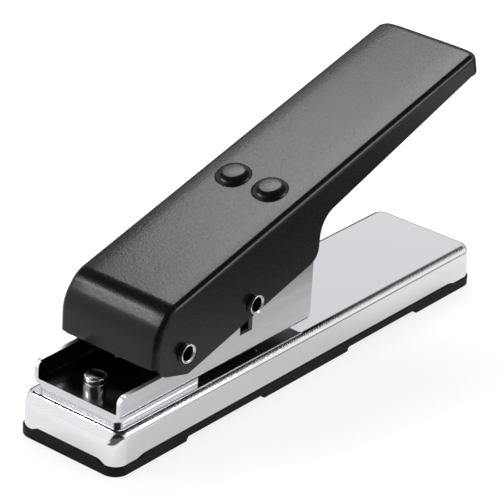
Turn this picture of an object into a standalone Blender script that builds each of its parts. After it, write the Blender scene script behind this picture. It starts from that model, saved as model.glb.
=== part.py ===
"""Guitar pick punch: a hand press that stamps plectrums out of old plastic cards.

Metres, Z up. X runs across the tool, Y along it with the tray at the low end, and the origin
lies under the middle of the base on the surface that the tool stands on.
"""
import math

import bmesh
import bpy
from mathutils import Matrix, Vector

# Clearance
GAP = 0.0003

# Base
BASE_LENGTH = 0.178
BASE_WIDTH = 0.040
BASE_HEIGHT = 0.01445
COVER_CORNER = 0.005
COVER_EDGE = 0.0004
COVER_FLOOR = 0.0011
COVER_WALL = 0.0012
UPSTAND_HEIGHT = 0.0042
FOOT_HEIGHT = 0.0017
FRONT_FOOT_LENGTH = 0.0313
MIDDLE_FOOT_LENGTH = 0.0410
REAR_FOOT_LENGTH = 0.0312
FOOT_ROUND = 0.0008
SHELL_INSET = 0.00046
SHELL_SHEET = 0.0012
SHELL_FILLET = 0.0024
SHELL_CORNER_EDGE = 0.0032
SHELL_SIDE_EDGE = 0.0040
SHELL_END_EDGE = 0.0046
SKIRT_ALONG_SIDE = 0.0130
SKIRT_ALONG_END = 0.0085
SKIRT_RAMP = 0.0030
SKIRT_ROUND = 0.0010

# Die and card slot
DIE_THICKNESS = 0.0030
DIE_SIDE_MARGIN = 0.00225
DIE_SETBACK = 0.0072
DIE_CORNER = 0.0020
CARD_SLOT = 0.0025
SPACER_INSET = 0.00075
SPACER_LENGTH = 0.0359
SPACER_SETBACK = 0.0046
SPACER_CORNER = 0.0026
SPACER_REAR_CORNER = 0.0006

# Bracket
BRACKET_SHEET = 0.0015
BRACKET_BEND = 0.0020
BRACKET_SETBACK = 0.0043
BRACKET_BEHIND_SPRING = 0.0072
TRAY_WALL_HEIGHT = 0.00595
TRAY_WALL_CORNER = 0.0024
WALL_STEP_SETBACK = 0.0245
WALL_ABOVE_PIN = 0.0065
WALL_STEP_ROUND = 0.0050
WALL_STEP_FOOT = 0.0030
WALL_REAR_ROUND = 0.0030
WALL_REAR_TOP_ROUND = 0.0060

# Ram, pins and travel
PIVOT_SETBACK = 0.0296
PIVOT_ABOVE_FLOOR = 0.01255
PIN_SPACING = 0.0313
PIN_RISE = 0.0045
RAM_TRAVEL = 0.0080
PIN_RADIUS = 0.0026
PIN_WALL = 0.0005
PIN_FLARE = 0.0005
PIN_RIM_LENGTH = 0.0015
PIN_RIM_ROUND = 0.0003
PIN_SLOT_PLAY = 0.0004
RAM_FACE_LIFT = 0.0004
RAM_HEAD = 0.0050
RAM_EDGE = 0.0006
SHEAR_DEPTH = 0.0008
PICK_WIDTH = 0.0255
PICK_LENGTH = 0.0300
PICK_AHEAD = 0.0008
COLLAR_LENGTH = 0.00205
COLLAR_WALL = 0.0013
SLEEVE_WALL = 0.0011

# Fasteners
SHANK_RADIUS = 0.0020
HEAD_LIP = 0.0014
HEAD_HEIGHT = 0.0014
HEAD_ROUND = 0.0008
POST_SETBACK = 0.0122
POST_LIP = 0.0015
POST_HEIGHT = 0.0045
RIVET_SETBACK = 0.0350
RIVET_X = 0.0095
DIE_RIVET_X = 0.0110
DIE_RIVET_BEHIND_RAM = 0.0060
DIE_RIVET_MARGIN = 0.0061
DIE_RIVET_SHANK = 0.0014
DIE_RIVET_HEAD = 0.0007
DIE_RIVET_FLARE = 0.0011

# Return springs
SPRING_BEHIND_RAM = 0.0103
SPRING_LEAN = 0.00366
SPRING_RADIUS = 0.0036
SPRING_WIRE = 0.0005
SPRING_TURNS = 14
SPRING_END_PITCH = 0.0015
SPRING_POINTS_A_TURN = 9
PEG_CLEARANCE = 0.0009
PEG_SHANK = 0.0015
PEG_HEIGHT = 0.0052
PEG_ROUND = 0.0007

# Handle, drawn from sheet, in its own frame at the pivot with its top level
HANDLE_TILT = math.radians(14.68)
HANDLE_SIDE_CLEARANCE = 0.0009
HANDLE_SHEET = 0.0012
HANDLE_FILLET = 0.0022
HANDLE_TOP = 0.01727
HANDLE_REAR = 0.1507
HANDLE_END_CORNER = 0.0042
HANDLE_END_FILLET = 0.0040
NOSE_FOOT = -0.0131
NOSE_FOOT_RISE = 0.0014
NOSE_BULGE = -0.0103
NOSE_BULGE_RISE = 0.01175
NOSE_BULGE_ROUND = 0.0108
NOSE_CREST = -0.0025
NOSE_CREST_ROUND = 0.0056
CHEEK_FRONT = -0.0100
CHEEK_FRONT_DROP = 0.0027
CHEEK_LOW_FRONT = 0.0000
CHEEK_DROP = 0.0085
CHEEK_REAR_DROP = 0.0075
CHEEK_REAR = 0.0624
CHEEK_FRONT_ROUND = 0.0030
CHEEK_REAR_ROUND = 0.0050
NECK = 0.0663
NECK_ROUND = 0.0088
LIP_RISE_AT_NECK = 0.0051
LIP_RISE_AT_END = 0.0105
LIP_END_DROP = 0.0003
LIP_END_LENGTH = 0.0060
DOME_CLEARANCE = 0.00045
DOMES_APART = 0.0022
DOME_FLAT = 0.0031
DOME_HEIGHT = 0.0019
DOME_ROUND = 0.0007

# Outline of a plectrum from its tip to its shoulder, as shares of half its width and of its length
PICK_HALF_SHARES = (
    (0.00, 0.000),
    (0.12, 0.007),
    (0.22, 0.036),
    (0.31, 0.085),
    (0.43, 0.175),
    (0.57, 0.300),
    (0.71, 0.440),
    (0.84, 0.585),
    (0.94, 0.715),
    (0.99, 0.810),
    (0.99, 0.875),
    (0.93, 0.930),
    (0.80, 0.965),
    (0.60, 0.984),
    (0.34, 0.996),
    (0.00, 1.000),
)

# Sizes that follow from the ones above
FRONT_END = -BASE_LENGTH / 2
SHELL_WIDTH = BASE_WIDTH - 2 * SHELL_INSET
SHELL_LENGTH = BASE_LENGTH - 2 * SHELL_INSET
SHELL_CORNER = COVER_CORNER - SHELL_INSET
SHELL_UNDERSIDE = BASE_HEIGHT - SHELL_SHEET
FLOOR_UNDERSIDE = BASE_HEIGHT + CARD_SLOT
FLOOR_TOP = FLOOR_UNDERSIDE + BRACKET_SHEET
DIE_TOP = SHELL_UNDERSIDE - GAP
DIE_UNDERSIDE = DIE_TOP - DIE_THICKNESS
DIE_WIDTH = PICK_WIDTH + 2 * DIE_SIDE_MARGIN
HOLE_RADIUS = PIN_RADIUS + GAP
PIN_BORE = PIN_RADIUS - PIN_WALL
PIN_RIM_RADIUS = PIN_RADIUS + PIN_FLARE
INNER_HALF = PICK_WIDTH / 2 + COLLAR_LENGTH + 2 * GAP
BRACKET_WIDTH = 2 * (INNER_HALF + BRACKET_SHEET)
SPACER_WIDTH = BRACKET_WIDTH - 2 * SPACER_INSET
HANDLE_WIDTH = BRACKET_WIDTH + 2 * (HANDLE_SIDE_CLEARANCE + HANDLE_SHEET)
PIN_HALF = HANDLE_WIDTH / 2 + GAP + PIN_RIM_LENGTH
COLLAR_RADIUS = HOLE_RADIUS + COLLAR_WALL
SLEEVE_RADIUS = HOLE_RADIUS + SLEEVE_WALL
PIVOT_Y = FRONT_END + PIVOT_SETBACK
PIVOT_Z = FLOOR_TOP + PIVOT_ABOVE_FLOOR
RAM_PIN_Y = PIVOT_Y + PIN_SPACING
RAM_PIN_Z = PIVOT_Z + PIN_RISE
RAM_TIP_Y = RAM_PIN_Y - PICK_LENGTH / 2 - PICK_AHEAD
RAM_REAR_Y = RAM_TIP_Y + PICK_LENGTH
RAM_FACE = FLOOR_UNDERSIDE + RAM_FACE_LIFT
RAM_TOP = RAM_PIN_Z + RAM_HEAD
POST_Y = FRONT_END + POST_SETBACK
RIVET_Y = FRONT_END + RIVET_SETBACK
DIE_RIVET_Y = RAM_REAR_Y + DIE_RIVET_BEHIND_RAM
DIE_FRONT = FRONT_END + DIE_SETBACK
DIE_REAR = DIE_RIVET_Y + DIE_RIVET_MARGIN
SPRING_FOOT_Y = RAM_REAR_Y + SPRING_BEHIND_RAM
BRACKET_FRONT = FRONT_END + BRACKET_SETBACK
BRACKET_REAR = SPRING_FOOT_Y + BRACKET_BEHIND_SPRING
WALL_STEP_FRONT = FRONT_END + WALL_STEP_SETBACK
WALL_TOP = RAM_PIN_Z + WALL_ABOVE_PIN
TRAY_WALL_TOP = FLOOR_TOP + TRAY_WALL_HEIGHT
PIN_ARM = math.hypot(PIN_SPACING, PIN_RISE)
PIN_REST_ANGLE = math.atan2(PIN_RISE, PIN_SPACING)
PEG_RADIUS = SPRING_RADIUS - SPRING_WIRE - PEG_CLEARANCE
DOME_RADIUS = SPRING_RADIUS + SPRING_WIRE + DOME_CLEARANCE + HANDLE_SHEET
SPRING_X = DOME_RADIUS + DOMES_APART / 2
SPRING_SEAT = HANDLE_TOP - HANDLE_SHEET - GAP - SPRING_WIRE
SPRING_TOP_Y = SPRING_FOOT_Y - SPRING_LEAN
SPRING_TOP_ALONG = SPRING_TOP_Y - PIVOT_Y + SPRING_SEAT * math.sin(HANDLE_TILT)
DOME_ALONG = SPRING_TOP_ALONG / math.cos(HANDLE_TILT)
ARC_STEPS = 6
ROUND_STEPS = 32


def clear_scene():
    for item in list(bpy.data.objects):
        bpy.data.objects.remove(item, do_unlink=True)


def new_collection(name):
    group = bpy.data.collections.new(name)
    bpy.context.scene.collection.children.link(group)
    return group


def make_material(name, colour, roughness, metallic):
    material = bpy.data.materials.new(name)
    material.use_nodes = True
    shader = material.node_tree.nodes["Principled BSDF"]
    shader.inputs["Base Color"].default_value = (*colour, 1.0)
    shader.inputs["Roughness"].default_value = roughness
    shader.inputs["Metallic"].default_value = metallic
    material.diffuse_color = (*colour, 1.0)
    return material


def rounded_path(corners, steps=ARC_STEPS):
    """Closed outline through corners of (across, up, radius), each turned by an arc of that radius."""
    points = []
    count = len(corners)
    for index, (across, up, radius) in enumerate(corners):
        here = Vector((across, up))
        before = Vector(corners[index - 1][:2])
        after = Vector(corners[(index + 1) % count][:2])
        if radius == 0:
            points.append(here)
            continue
        back = (before - here).normalized()
        ahead = (after - here).normalized()
        half = back.angle(ahead) / 2
        centre = here + (back + ahead).normalized() * (radius / math.sin(half))
        start = here + back * (radius / math.tan(half)) - centre
        turn = start.angle_signed(here + ahead * (radius / math.tan(half)) - centre)
        for step in range(steps + 1):
            swing = Matrix.Rotation(-turn * step / steps, 2)
            points.append(centre + swing @ start)
    return points


def inset_corners(corners, inset):
    """Corners of an anticlockwise outline moved inwards by an equal distance on every side."""
    moved = []
    count = len(corners)
    for index, (across, up, radius) in enumerate(corners):
        here = Vector((across, up))
        arriving = (here - Vector(corners[index - 1][:2])).normalized()
        leaving = (Vector(corners[(index + 1) % count][:2]) - here).normalized()
        first = Vector((-arriving.y, arriving.x))
        second = Vector((-leaving.y, leaving.x))
        there = here + (first + second) * (inset / (1 + first.dot(second)))
        moved.append((there.x, there.y, max(radius - inset, 0)))
    return moved


def circle_points(centre_across, centre_up, radius, steps=ROUND_STEPS):
    angles = [2 * math.pi * step / steps for step in range(steps)]
    return [Vector((centre_across + radius * math.cos(a), centre_up + radius * math.sin(a))) for a in angles]


def box_corners(width, length, radius):
    """Corners of a rectangle centred on the origin, all with one radius."""
    right = width / 2
    rear = length / 2
    return [(-right, -rear, radius), (right, -rear, radius), (right, rear, radius), (-right, rear, radius)]


def plate(name, points, thickness, group):
    """A flat outline given a thickness, centred on its own plane, as a welded mesh object."""
    curve = bpy.data.curves.new(name, "CURVE")
    curve.dimensions = "2D"
    curve.fill_mode = "BOTH"
    curve.extrude = thickness / 2
    spline = curve.splines.new("POLY")
    spline.points.add(len(points) - 1)
    for target, point in zip(spline.points, points):
        target.co = (point[0], point[1], 0, 1)
    spline.use_cyclic_u = True
    guide = bpy.data.objects.new(name + "_outline", curve)
    bpy.context.scene.collection.objects.link(guide)
    shaped = guide.evaluated_get(bpy.context.evaluated_depsgraph_get())
    mesh = bpy.data.meshes.new_from_object(shaped)
    mesh.name = name
    bpy.data.objects.remove(guide, do_unlink=True)
    shell = bmesh.new()
    shell.from_mesh(mesh)
    bmesh.ops.remove_doubles(shell, verts=shell.verts, dist=GAP / 100)
    bmesh.ops.dissolve_limit(shell, angle_limit=math.radians(0.05), verts=shell.verts, edges=shell.edges)
    bmesh.ops.recalc_face_normals(shell, faces=shell.faces)
    shell.to_mesh(mesh)
    shell.free()
    solid = bpy.data.objects.new(name, mesh)
    group.objects.link(solid)
    return solid


def level_plate(name, points, low, high, group):
    """An outline seen from above, filled between two heights."""
    solid = plate(name, points, high - low, group)
    solid.data.transform(Matrix.Translation((0, 0, (high + low) / 2)))
    return solid


def side_plate(name, points, left, right, group):
    """An outline of (along, up) seen from the side, filled from one X to another."""
    solid = plate(name, points, right - left, group)
    turn = Matrix(((0, 0, 1, 0), (1, 0, 0, 0), (0, 1, 0, 0), (0, 0, 0, 1)))
    solid.data.transform(Matrix.Translation(((left + right) / 2, 0, 0)) @ turn)
    return solid


def end_plate(name, points, front, rear, group):
    """An outline of (across, up) seen from the tray end, filled from one Y to another."""
    solid = plate(name, points, rear - front, group)
    turn = Matrix.Rotation(math.radians(90), 4, "X")
    solid.data.transform(Matrix.Translation((0, (front + rear) / 2, 0)) @ turn)
    return solid


def turned(name, profile, group, closed=False, steps=ROUND_STEPS):
    """A profile of (radius, height) spun round the upright axis, listed down its outer side."""
    mesh = bpy.data.meshes.new(name)
    outline = bmesh.new()
    corners = [outline.verts.new((radius, 0, height)) for radius, height in profile]
    pairs = list(zip(corners, corners[1:]))
    if closed:
        pairs.append((corners[-1], corners[0]))
    for first, second in pairs:
        outline.edges.new((first, second))
    outline.to_mesh(mesh)
    outline.free()
    solid = bpy.data.objects.new(name, mesh)
    group.objects.link(solid)
    screw = solid.modifiers.new("spin", "SCREW")
    screw.axis = "Z"
    screw.steps = steps
    screw.render_steps = steps
    screw.use_merge_vertices = True
    screw.merge_threshold = GAP / 30
    screw.use_smooth_shade = True
    return solid


def hide_cutter(cutter):
    cutter.display_type = "WIRE"
    cutter.hide_render = True
    return cutter


def combine(target, cutter, operation):
    boolean = target.modifiers.new(cutter.name, "BOOLEAN")
    boolean.operation = operation
    boolean.solver = "EXACT"
    boolean.object = hide_cutter(cutter)


def cut(target, cutter):
    combine(target, cutter, "DIFFERENCE")


def join(target, cutter):
    combine(target, cutter, "UNION")


def keep(target, cutter):
    combine(target, cutter, "INTERSECT")


def round_edges(target, width, segments, angle=35):
    bevel = target.modifiers.new("rounded edges", "BEVEL")
    bevel.width = width
    bevel.segments = segments
    bevel.limit_method = "ANGLE"
    bevel.angle_limit = math.radians(angle)


def upright_cylinder(name, across, along, low, high, radius):
    points = circle_points(across, along, radius)
    return level_plate(name, points, low, high, cutters)


def cross_cylinder(name, along, up, radius, half, centre=0):
    return side_plate(name, circle_points(along, up, radius), centre - half, centre + half, cutters)


def finish(solid, material, smooth=True, angle=32):
    """Gives a finished sub-part its material and its shading."""
    solid.data.materials.clear()
    solid.data.materials.append(material)
    if smooth and len(solid.data.polygons):
        solid.data.shade_smooth()
        solid.data.set_sharp_from_angle(angle=math.radians(angle))
    return solid


def pick_outline(grow):
    """The plectrum seen from above, tip towards the tray, grown outwards all round."""
    half = [(across * PICK_WIDTH / 2, along * PICK_LENGTH) for across, along in PICK_HALF_SHARES]
    left = [(-across, along) for across, along in half[1:-1]]
    loop = [Vector(point) for point in half + left[::-1]]
    count = len(loop)
    points = []
    for index, here in enumerate(loop):
        chord = (loop[(index + 1) % count] - loop[index - 1]).normalized()
        outward = Vector((chord.y, -chord.x))
        points.append(here + outward * grow + Vector((0, RAM_TIP_Y)))
    return points


def skirt_outline(half_run, run_edge, shift, limit, half_reach=BASE_LENGTH):
    """The lower line of the chrome: level along a wall, ramped down towards the corners."""
    low = SHELL_CORNER_EDGE + shift
    high = run_edge + shift
    foot = half_run + SKIRT_RAMP
    corners = [
        (-half_reach, low, 0),
        (-foot, low, SKIRT_ROUND),
        (-half_run, high, SKIRT_ROUND),
        (half_run, high, SKIRT_ROUND),
        (foot, low, SKIRT_ROUND),
        (half_reach, low, 0),
        (half_reach, limit, 0),
        (-half_reach, limit, 0),
    ]
    return rounded_path(corners, 3)


def build_bottom_cover():
    """The soft black tray under the base, with its three moulded feet and its lip."""
    corners = box_corners(BASE_WIDTH, BASE_LENGTH, COVER_CORNER)
    lip_top = SHELL_END_EDGE - GAP
    tray = level_plate("bottom_cover", rounded_path(corners), 0, lip_top, parts)
    round_edges(tray, COVER_EDGE, 2, 60)
    inner = BASE_WIDTH / 2 - COVER_CORNER
    side_lip = skirt_outline(BASE_LENGTH / 2 - SKIRT_ALONG_SIDE, SHELL_SIDE_EDGE, -GAP, BASE_HEIGHT)
    for side, name in ((1, "right"), (-1, "left")):
        near, far = sorted((side * inner, side * BASE_WIDTH))
        cut(tray, side_plate("side_lip_" + name, side_lip, near, far, cutters))
    end_lip = skirt_outline(BASE_WIDTH / 2 - SKIRT_ALONG_END, SHELL_END_EDGE, -GAP, BASE_HEIGHT, inner)
    cut(tray, end_plate("end_lip", end_lip, -BASE_LENGTH, BASE_LENGTH, cutters))
    wall_line = SHELL_WIDTH - 2 * (SHELL_SHEET + GAP)
    wall_length = SHELL_LENGTH - 2 * (SHELL_SHEET + GAP)
    wall_corner = SHELL_CORNER - SHELL_SHEET - GAP
    upstand = rounded_path(box_corners(wall_line, wall_length, wall_corner))
    upstand_top = lip_top + UPSTAND_HEIGHT
    join(tray, level_plate("cover_upstand", upstand, FOOT_HEIGHT + GAP, upstand_top, cutters))
    hollow_corner = max(wall_corner - COVER_WALL, GAP)
    hollow = box_corners(wall_line - 2 * COVER_WALL, wall_length - 2 * COVER_WALL, hollow_corner)
    hollow_floor = FOOT_HEIGHT + COVER_FLOOR
    cut(tray, level_plate("cover_hollow", rounded_path(hollow), hollow_floor, BASE_HEIGHT, cutters))
    middle_start = -MIDDLE_FOOT_LENGTH / 2
    arches = (
        (FRONT_END + FRONT_FOOT_LENGTH, middle_start),
        (-middle_start, -FRONT_END - REAR_FOOT_LENGTH),
    )
    for number, (start, end) in enumerate(arches):
        arch = [
            (start - FOOT_ROUND, -FOOT_HEIGHT, 0),
            (end + FOOT_ROUND, -FOOT_HEIGHT, 0),
            (end - FOOT_ROUND, FOOT_HEIGHT, FOOT_ROUND),
            (start + FOOT_ROUND, FOOT_HEIGHT, FOOT_ROUND),
        ]
        name = "arch_" + str(number)
        cut(tray, side_plate(name, rounded_path(arch, 3), -BASE_WIDTH, BASE_WIDTH, cutters))
    return finish(tray, black_plastic)


def skirt_notch(half_run, run_edge):
    """The shallow rise of the chrome's lower edge along the middle of a wall."""
    foot = half_run + SKIRT_RAMP
    fall = SHELL_CORNER_EDGE - run_edge
    corners = [
        (-foot - SKIRT_RAMP, SHELL_CORNER_EDGE + fall, 0),
        (foot + SKIRT_RAMP, SHELL_CORNER_EDGE + fall, 0),
        (half_run, run_edge, SKIRT_ROUND),
        (-half_run, run_edge, SKIRT_ROUND),
    ]
    return rounded_path(corners, 3)


def build_base_shell():
    """The chromed pressing of the base, open underneath, with a plectrum hole in its top."""
    outline = rounded_path(box_corners(SHELL_WIDTH, SHELL_LENGTH, SHELL_CORNER), 8)
    shell = level_plate("base_shell", outline, -BASE_HEIGHT, BASE_HEIGHT, parts)
    round_edges(shell, SHELL_FILLET, 5, 60)
    below = rounded_path(box_corners(2 * BASE_WIDTH, 2 * BASE_LENGTH, 0))
    cut(shell, level_plate("below_skirt", below, -3 * BASE_HEIGHT, SHELL_CORNER_EDGE, cutters))
    inner_corner = SHELL_CORNER - SHELL_SHEET
    inner_corners = box_corners(SHELL_WIDTH - 2 * SHELL_SHEET, SHELL_LENGTH - 2 * SHELL_SHEET, inner_corner)
    inner = rounded_path(inner_corners)
    hollow = level_plate("shell_hollow", inner, -2 * BASE_HEIGHT, SHELL_UNDERSIDE, cutters)
    round_edges(hollow, SHELL_FILLET - SHELL_SHEET, 3, 60)
    cut(shell, hollow)
    side_notch = skirt_notch(BASE_LENGTH / 2 - SKIRT_ALONG_SIDE, SHELL_SIDE_EDGE)
    cut(shell, side_plate("side_notch", side_notch, -BASE_WIDTH, BASE_WIDTH, cutters))
    end_notch = skirt_notch(BASE_WIDTH / 2 - SKIRT_ALONG_END, SHELL_END_EDGE)
    cut(shell, end_plate("end_notch", end_notch, -BASE_LENGTH, BASE_LENGTH, cutters))
    cut(shell, level_plate("shell_pick_hole", pick_outline(2 * GAP), DIE_TOP, 2 * BASE_HEIGHT, cutters))
    drill_for_fasteners(shell, "shell", DIE_TOP, 2 * BASE_HEIGHT)
    for side, name in ((1, "right"), (-1, "left")):
        sink = turned("sink_" + name, die_rivet_profile(GAP, BASE_HEIGHT), cutters)
        sink.location = (side * DIE_RIVET_X, DIE_RIVET_Y, 0)
        cut(shell, sink)
    return finish(shell, chrome)


def die_rivet_profile(grow, above=0):
    """A countersunk rivet down its outer side, or the room for it when grown by a gap."""
    top = BASE_HEIGHT - GAP / 3
    throat = top - DIE_RIVET_HEAD
    shank = DIE_RIVET_SHANK + grow
    foot_high = DIE_UNDERSIDE - GAP
    foot_low = foot_high - HEAD_HEIGHT
    head = shank + DIE_RIVET_FLARE
    if grow:
        return [(0, top + above), (head, top + above), (head, top), (shank, throat), (shank, 0), (0, 0)]
    foot = shank + HEAD_LIP
    return [
        (0, top),
        (head, top),
        (shank, throat),
        (shank, foot_high),
        (foot, foot_high),
        (foot, foot_low + HEAD_HEIGHT / 3),
        (foot - HEAD_HEIGHT / 3, foot_low),
        (0, foot_low),
    ]


def build_die_rivet(name, side):
    """A flush rivet that holds the rear of the die to the underside of the base's top."""
    rivet = turned(name, die_rivet_profile(0), parts, steps=24)
    rivet.location = (side * DIE_RIVET_X, DIE_RIVET_Y, 0)
    return finish(rivet, bright_steel)


def drill_for_fasteners(target, name, low, high):
    """The three shank holes through one layer of the stack at the tray end."""
    places = ((0, POST_Y), (-RIVET_X, RIVET_Y), (RIVET_X, RIVET_Y))
    for number, (across, along) in enumerate(places):
        label = name + "_shank_hole_" + str(number)
        cut(target, upright_cylinder(label, across, along, low, high, SHANK_RADIUS + GAP))


def build_die_plate():
    """The hard plate under the base top, whose plectrum hole shears the card."""
    half = DIE_WIDTH / 2
    corners = [
        (-half, DIE_FRONT, DIE_CORNER),
        (half, DIE_FRONT, DIE_CORNER),
        (half, DIE_REAR, DIE_CORNER),
        (-half, DIE_REAR, DIE_CORNER),
    ]
    die = level_plate("die_plate", rounded_path(corners), DIE_UNDERSIDE, DIE_TOP, parts)
    cut(die, level_plate("die_pick_hole", pick_outline(GAP), 0, BASE_HEIGHT, cutters))
    drill_for_fasteners(die, "die", 0, BASE_HEIGHT)
    for side, name in ((1, "right"), (-1, "left")):
        across = side * DIE_RIVET_X
        radius = DIE_RIVET_SHANK + GAP
        cut(die, upright_cylinder("die_rear_hole_" + name, across, DIE_RIVET_Y, 0, BASE_HEIGHT, radius))
    return finish(die, tool_steel)


def build_front_spacer():
    """The plate that holds the bracket off the base by the height of the card slot."""
    front = FRONT_END + SPACER_SETBACK
    rear = front + SPACER_LENGTH
    half = SPACER_WIDTH / 2
    corners = [
        (-half, front, SPACER_CORNER),
        (half, front, SPACER_CORNER),
        (half, rear, SPACER_REAR_CORNER),
        (-half, rear, SPACER_REAR_CORNER),
    ]
    low = BASE_HEIGHT + GAP
    high = FLOOR_UNDERSIDE - GAP
    spacer = level_plate("front_spacer", rounded_path(corners), low, high, parts)
    drill_for_fasteners(spacer, "spacer", 0, 2 * BASE_HEIGHT)
    return finish(spacer, plated_steel)


def bracket_section():
    """The bent sheet seen from the end: a floor and two upright walls."""
    half = BRACKET_WIDTH / 2
    top = WALL_TOP + BRACKET_SHEET
    inner_bend = BRACKET_BEND - BRACKET_SHEET
    return [
        (-half, FLOOR_UNDERSIDE, BRACKET_BEND),
        (half, FLOOR_UNDERSIDE, BRACKET_BEND),
        (half, top, 0),
        (INNER_HALF, top, 0),
        (INNER_HALF, FLOOR_TOP, inner_bend),
        (-INNER_HALF, FLOOR_TOP, inner_bend),
        (-INNER_HALF, top, 0),
        (-half, top, 0),
    ]


def bracket_side_outline():
    """The walls seen from the side: low round the tray, then stepped up to carry the pins."""
    below = FLOOR_UNDERSIDE - BRACKET_BEND
    rear_low = BRACKET_REAR - WALL_REAR_ROUND / 3
    return [
        (BRACKET_FRONT, below, 0),
        (rear_low, below, 0),
        (rear_low, FLOOR_UNDERSIDE, WALL_REAR_ROUND / 6),
        (BRACKET_REAR, FLOOR_UNDERSIDE + WALL_REAR_ROUND, WALL_REAR_ROUND),
        (BRACKET_REAR, WALL_TOP, WALL_REAR_TOP_ROUND),
        (WALL_STEP_FRONT, WALL_TOP, WALL_STEP_ROUND),
        (WALL_STEP_FRONT, TRAY_WALL_TOP, WALL_STEP_FOOT),
        (BRACKET_FRONT, TRAY_WALL_TOP, TRAY_WALL_CORNER),
    ]


def build_bracket():
    """The chromed channel that guides the ram, with the open tray at its front."""
    section = rounded_path(bracket_section())
    bracket = end_plate("bracket", section, BRACKET_FRONT - GAP, BRACKET_REAR + GAP, parts)
    side = rounded_path(bracket_side_outline(), 8)
    keep(bracket, side_plate("bracket_side", side, -BRACKET_WIDTH, BRACKET_WIDTH, cutters))
    cut(bracket, level_plate("bracket_pick_hole", pick_outline(GAP), 0, FLOOR_TOP + BRACKET_SHEET, cutters))
    drill_for_fasteners(bracket, "bracket", 0, FLOOR_TOP + BRACKET_SHEET)
    for side_sign, name in ((1, "right"), (-1, "left")):
        label = "peg_hole_" + name
        radius = PEG_SHANK + GAP
        high = FLOOR_TOP + BRACKET_SHEET
        cut(bracket, upright_cylinder(label, side_sign * SPRING_X, SPRING_FOOT_Y, 0, high, radius))
    cut(bracket, cross_cylinder("bracket_pivot_hole", PIVOT_Y, PIVOT_Z, HOLE_RADIUS, BRACKET_WIDTH))
    slot_low = RAM_PIN_Z - RAM_TRAVEL - HOLE_RADIUS
    slot_high = RAM_PIN_Z + HOLE_RADIUS
    slot = [
        (RAM_PIN_Y - HOLE_RADIUS, slot_low, 0),
        (RAM_PIN_Y + HOLE_RADIUS, slot_low, 0),
        (RAM_PIN_Y + HOLE_RADIUS, slot_high, HOLE_RADIUS / 2),
        (RAM_PIN_Y - HOLE_RADIUS, slot_high, HOLE_RADIUS / 2),
    ]
    cut(bracket, side_plate("ram_pin_slot", rounded_path(slot), -BRACKET_WIDTH, BRACKET_WIDTH, cutters))
    return finish(bracket, chrome)


def headed_stud(name, across, along, head_radius, head_height, head_steps=4):
    """A stud with a rounded head on the tray floor and an upset foot under the die plate."""
    head_low = FLOOR_TOP + GAP
    head_high = head_low + head_height
    foot_high = DIE_UNDERSIDE - GAP
    foot_low = foot_high - HEAD_HEIGHT
    profile = [(0, head_high)]
    for step in range(head_steps + 1):
        angle = math.pi / 2 * step / head_steps
        radius = head_radius - HEAD_ROUND * (1 - math.sin(angle))
        profile.append((radius, head_high - HEAD_ROUND * (1 - math.cos(angle))))
    profile.append((head_radius, head_low))
    profile.append((SHANK_RADIUS, head_low))
    profile.append((SHANK_RADIUS, foot_high))
    profile.append((SHANK_RADIUS + HEAD_LIP, foot_high))
    profile.append((SHANK_RADIUS + HEAD_LIP, foot_low + HEAD_HEIGHT / 3))
    profile.append((SHANK_RADIUS + HEAD_LIP - HEAD_HEIGHT / 3, foot_low))
    profile.append((0, foot_low))
    stud = turned(name, profile, parts)
    stud.location = (across, along, 0)
    return finish(stud, bright_steel)


def tubular_pin(name, along, up, holder):
    """A hollow pin across the tool with a rolled rim outside each cheek of the handle."""
    rim_inner = PIN_HALF - PIN_RIM_LENGTH
    half_profile = [
        (PIN_BORE + PIN_RIM_ROUND / 2, PIN_HALF),
        (PIN_RIM_RADIUS - PIN_RIM_ROUND, PIN_HALF),
        (PIN_RIM_RADIUS - PIN_RIM_ROUND / 3, PIN_HALF - PIN_RIM_ROUND / 3),
        (PIN_RIM_RADIUS, PIN_HALF - PIN_RIM_ROUND),
        (PIN_RIM_RADIUS, rim_inner),
        (PIN_RADIUS, rim_inner),
    ]
    mirrored = [(radius, -height) for radius, height in half_profile[::-1]]
    bore = [(PIN_BORE, PIN_RIM_ROUND - PIN_HALF), (PIN_BORE, PIN_HALF - PIN_RIM_ROUND)]
    pin = turned(name, half_profile + mirrored + bore, parts, closed=True)
    pin.rotation_euler = (0, math.radians(90), 0)
    pin.location = (0, along - holder.location.y, up - holder.location.z)
    pin.parent = holder
    return finish(pin, bright_steel)


def cross_tube(name, centre, length, outer, along, up, holder):
    """A plain tube on one of the cross pins."""
    half = length / 2
    profile = [(outer, half), (outer, -half), (HOLE_RADIUS, -half), (HOLE_RADIUS, half)]
    tube = turned(name, profile, parts, closed=True)
    tube.rotation_euler = (0, math.radians(90), 0)
    tube.location = (centre, along - holder.location.y, up - holder.location.z)
    tube.parent = holder
    return finish(tube, plated_steel)


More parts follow.
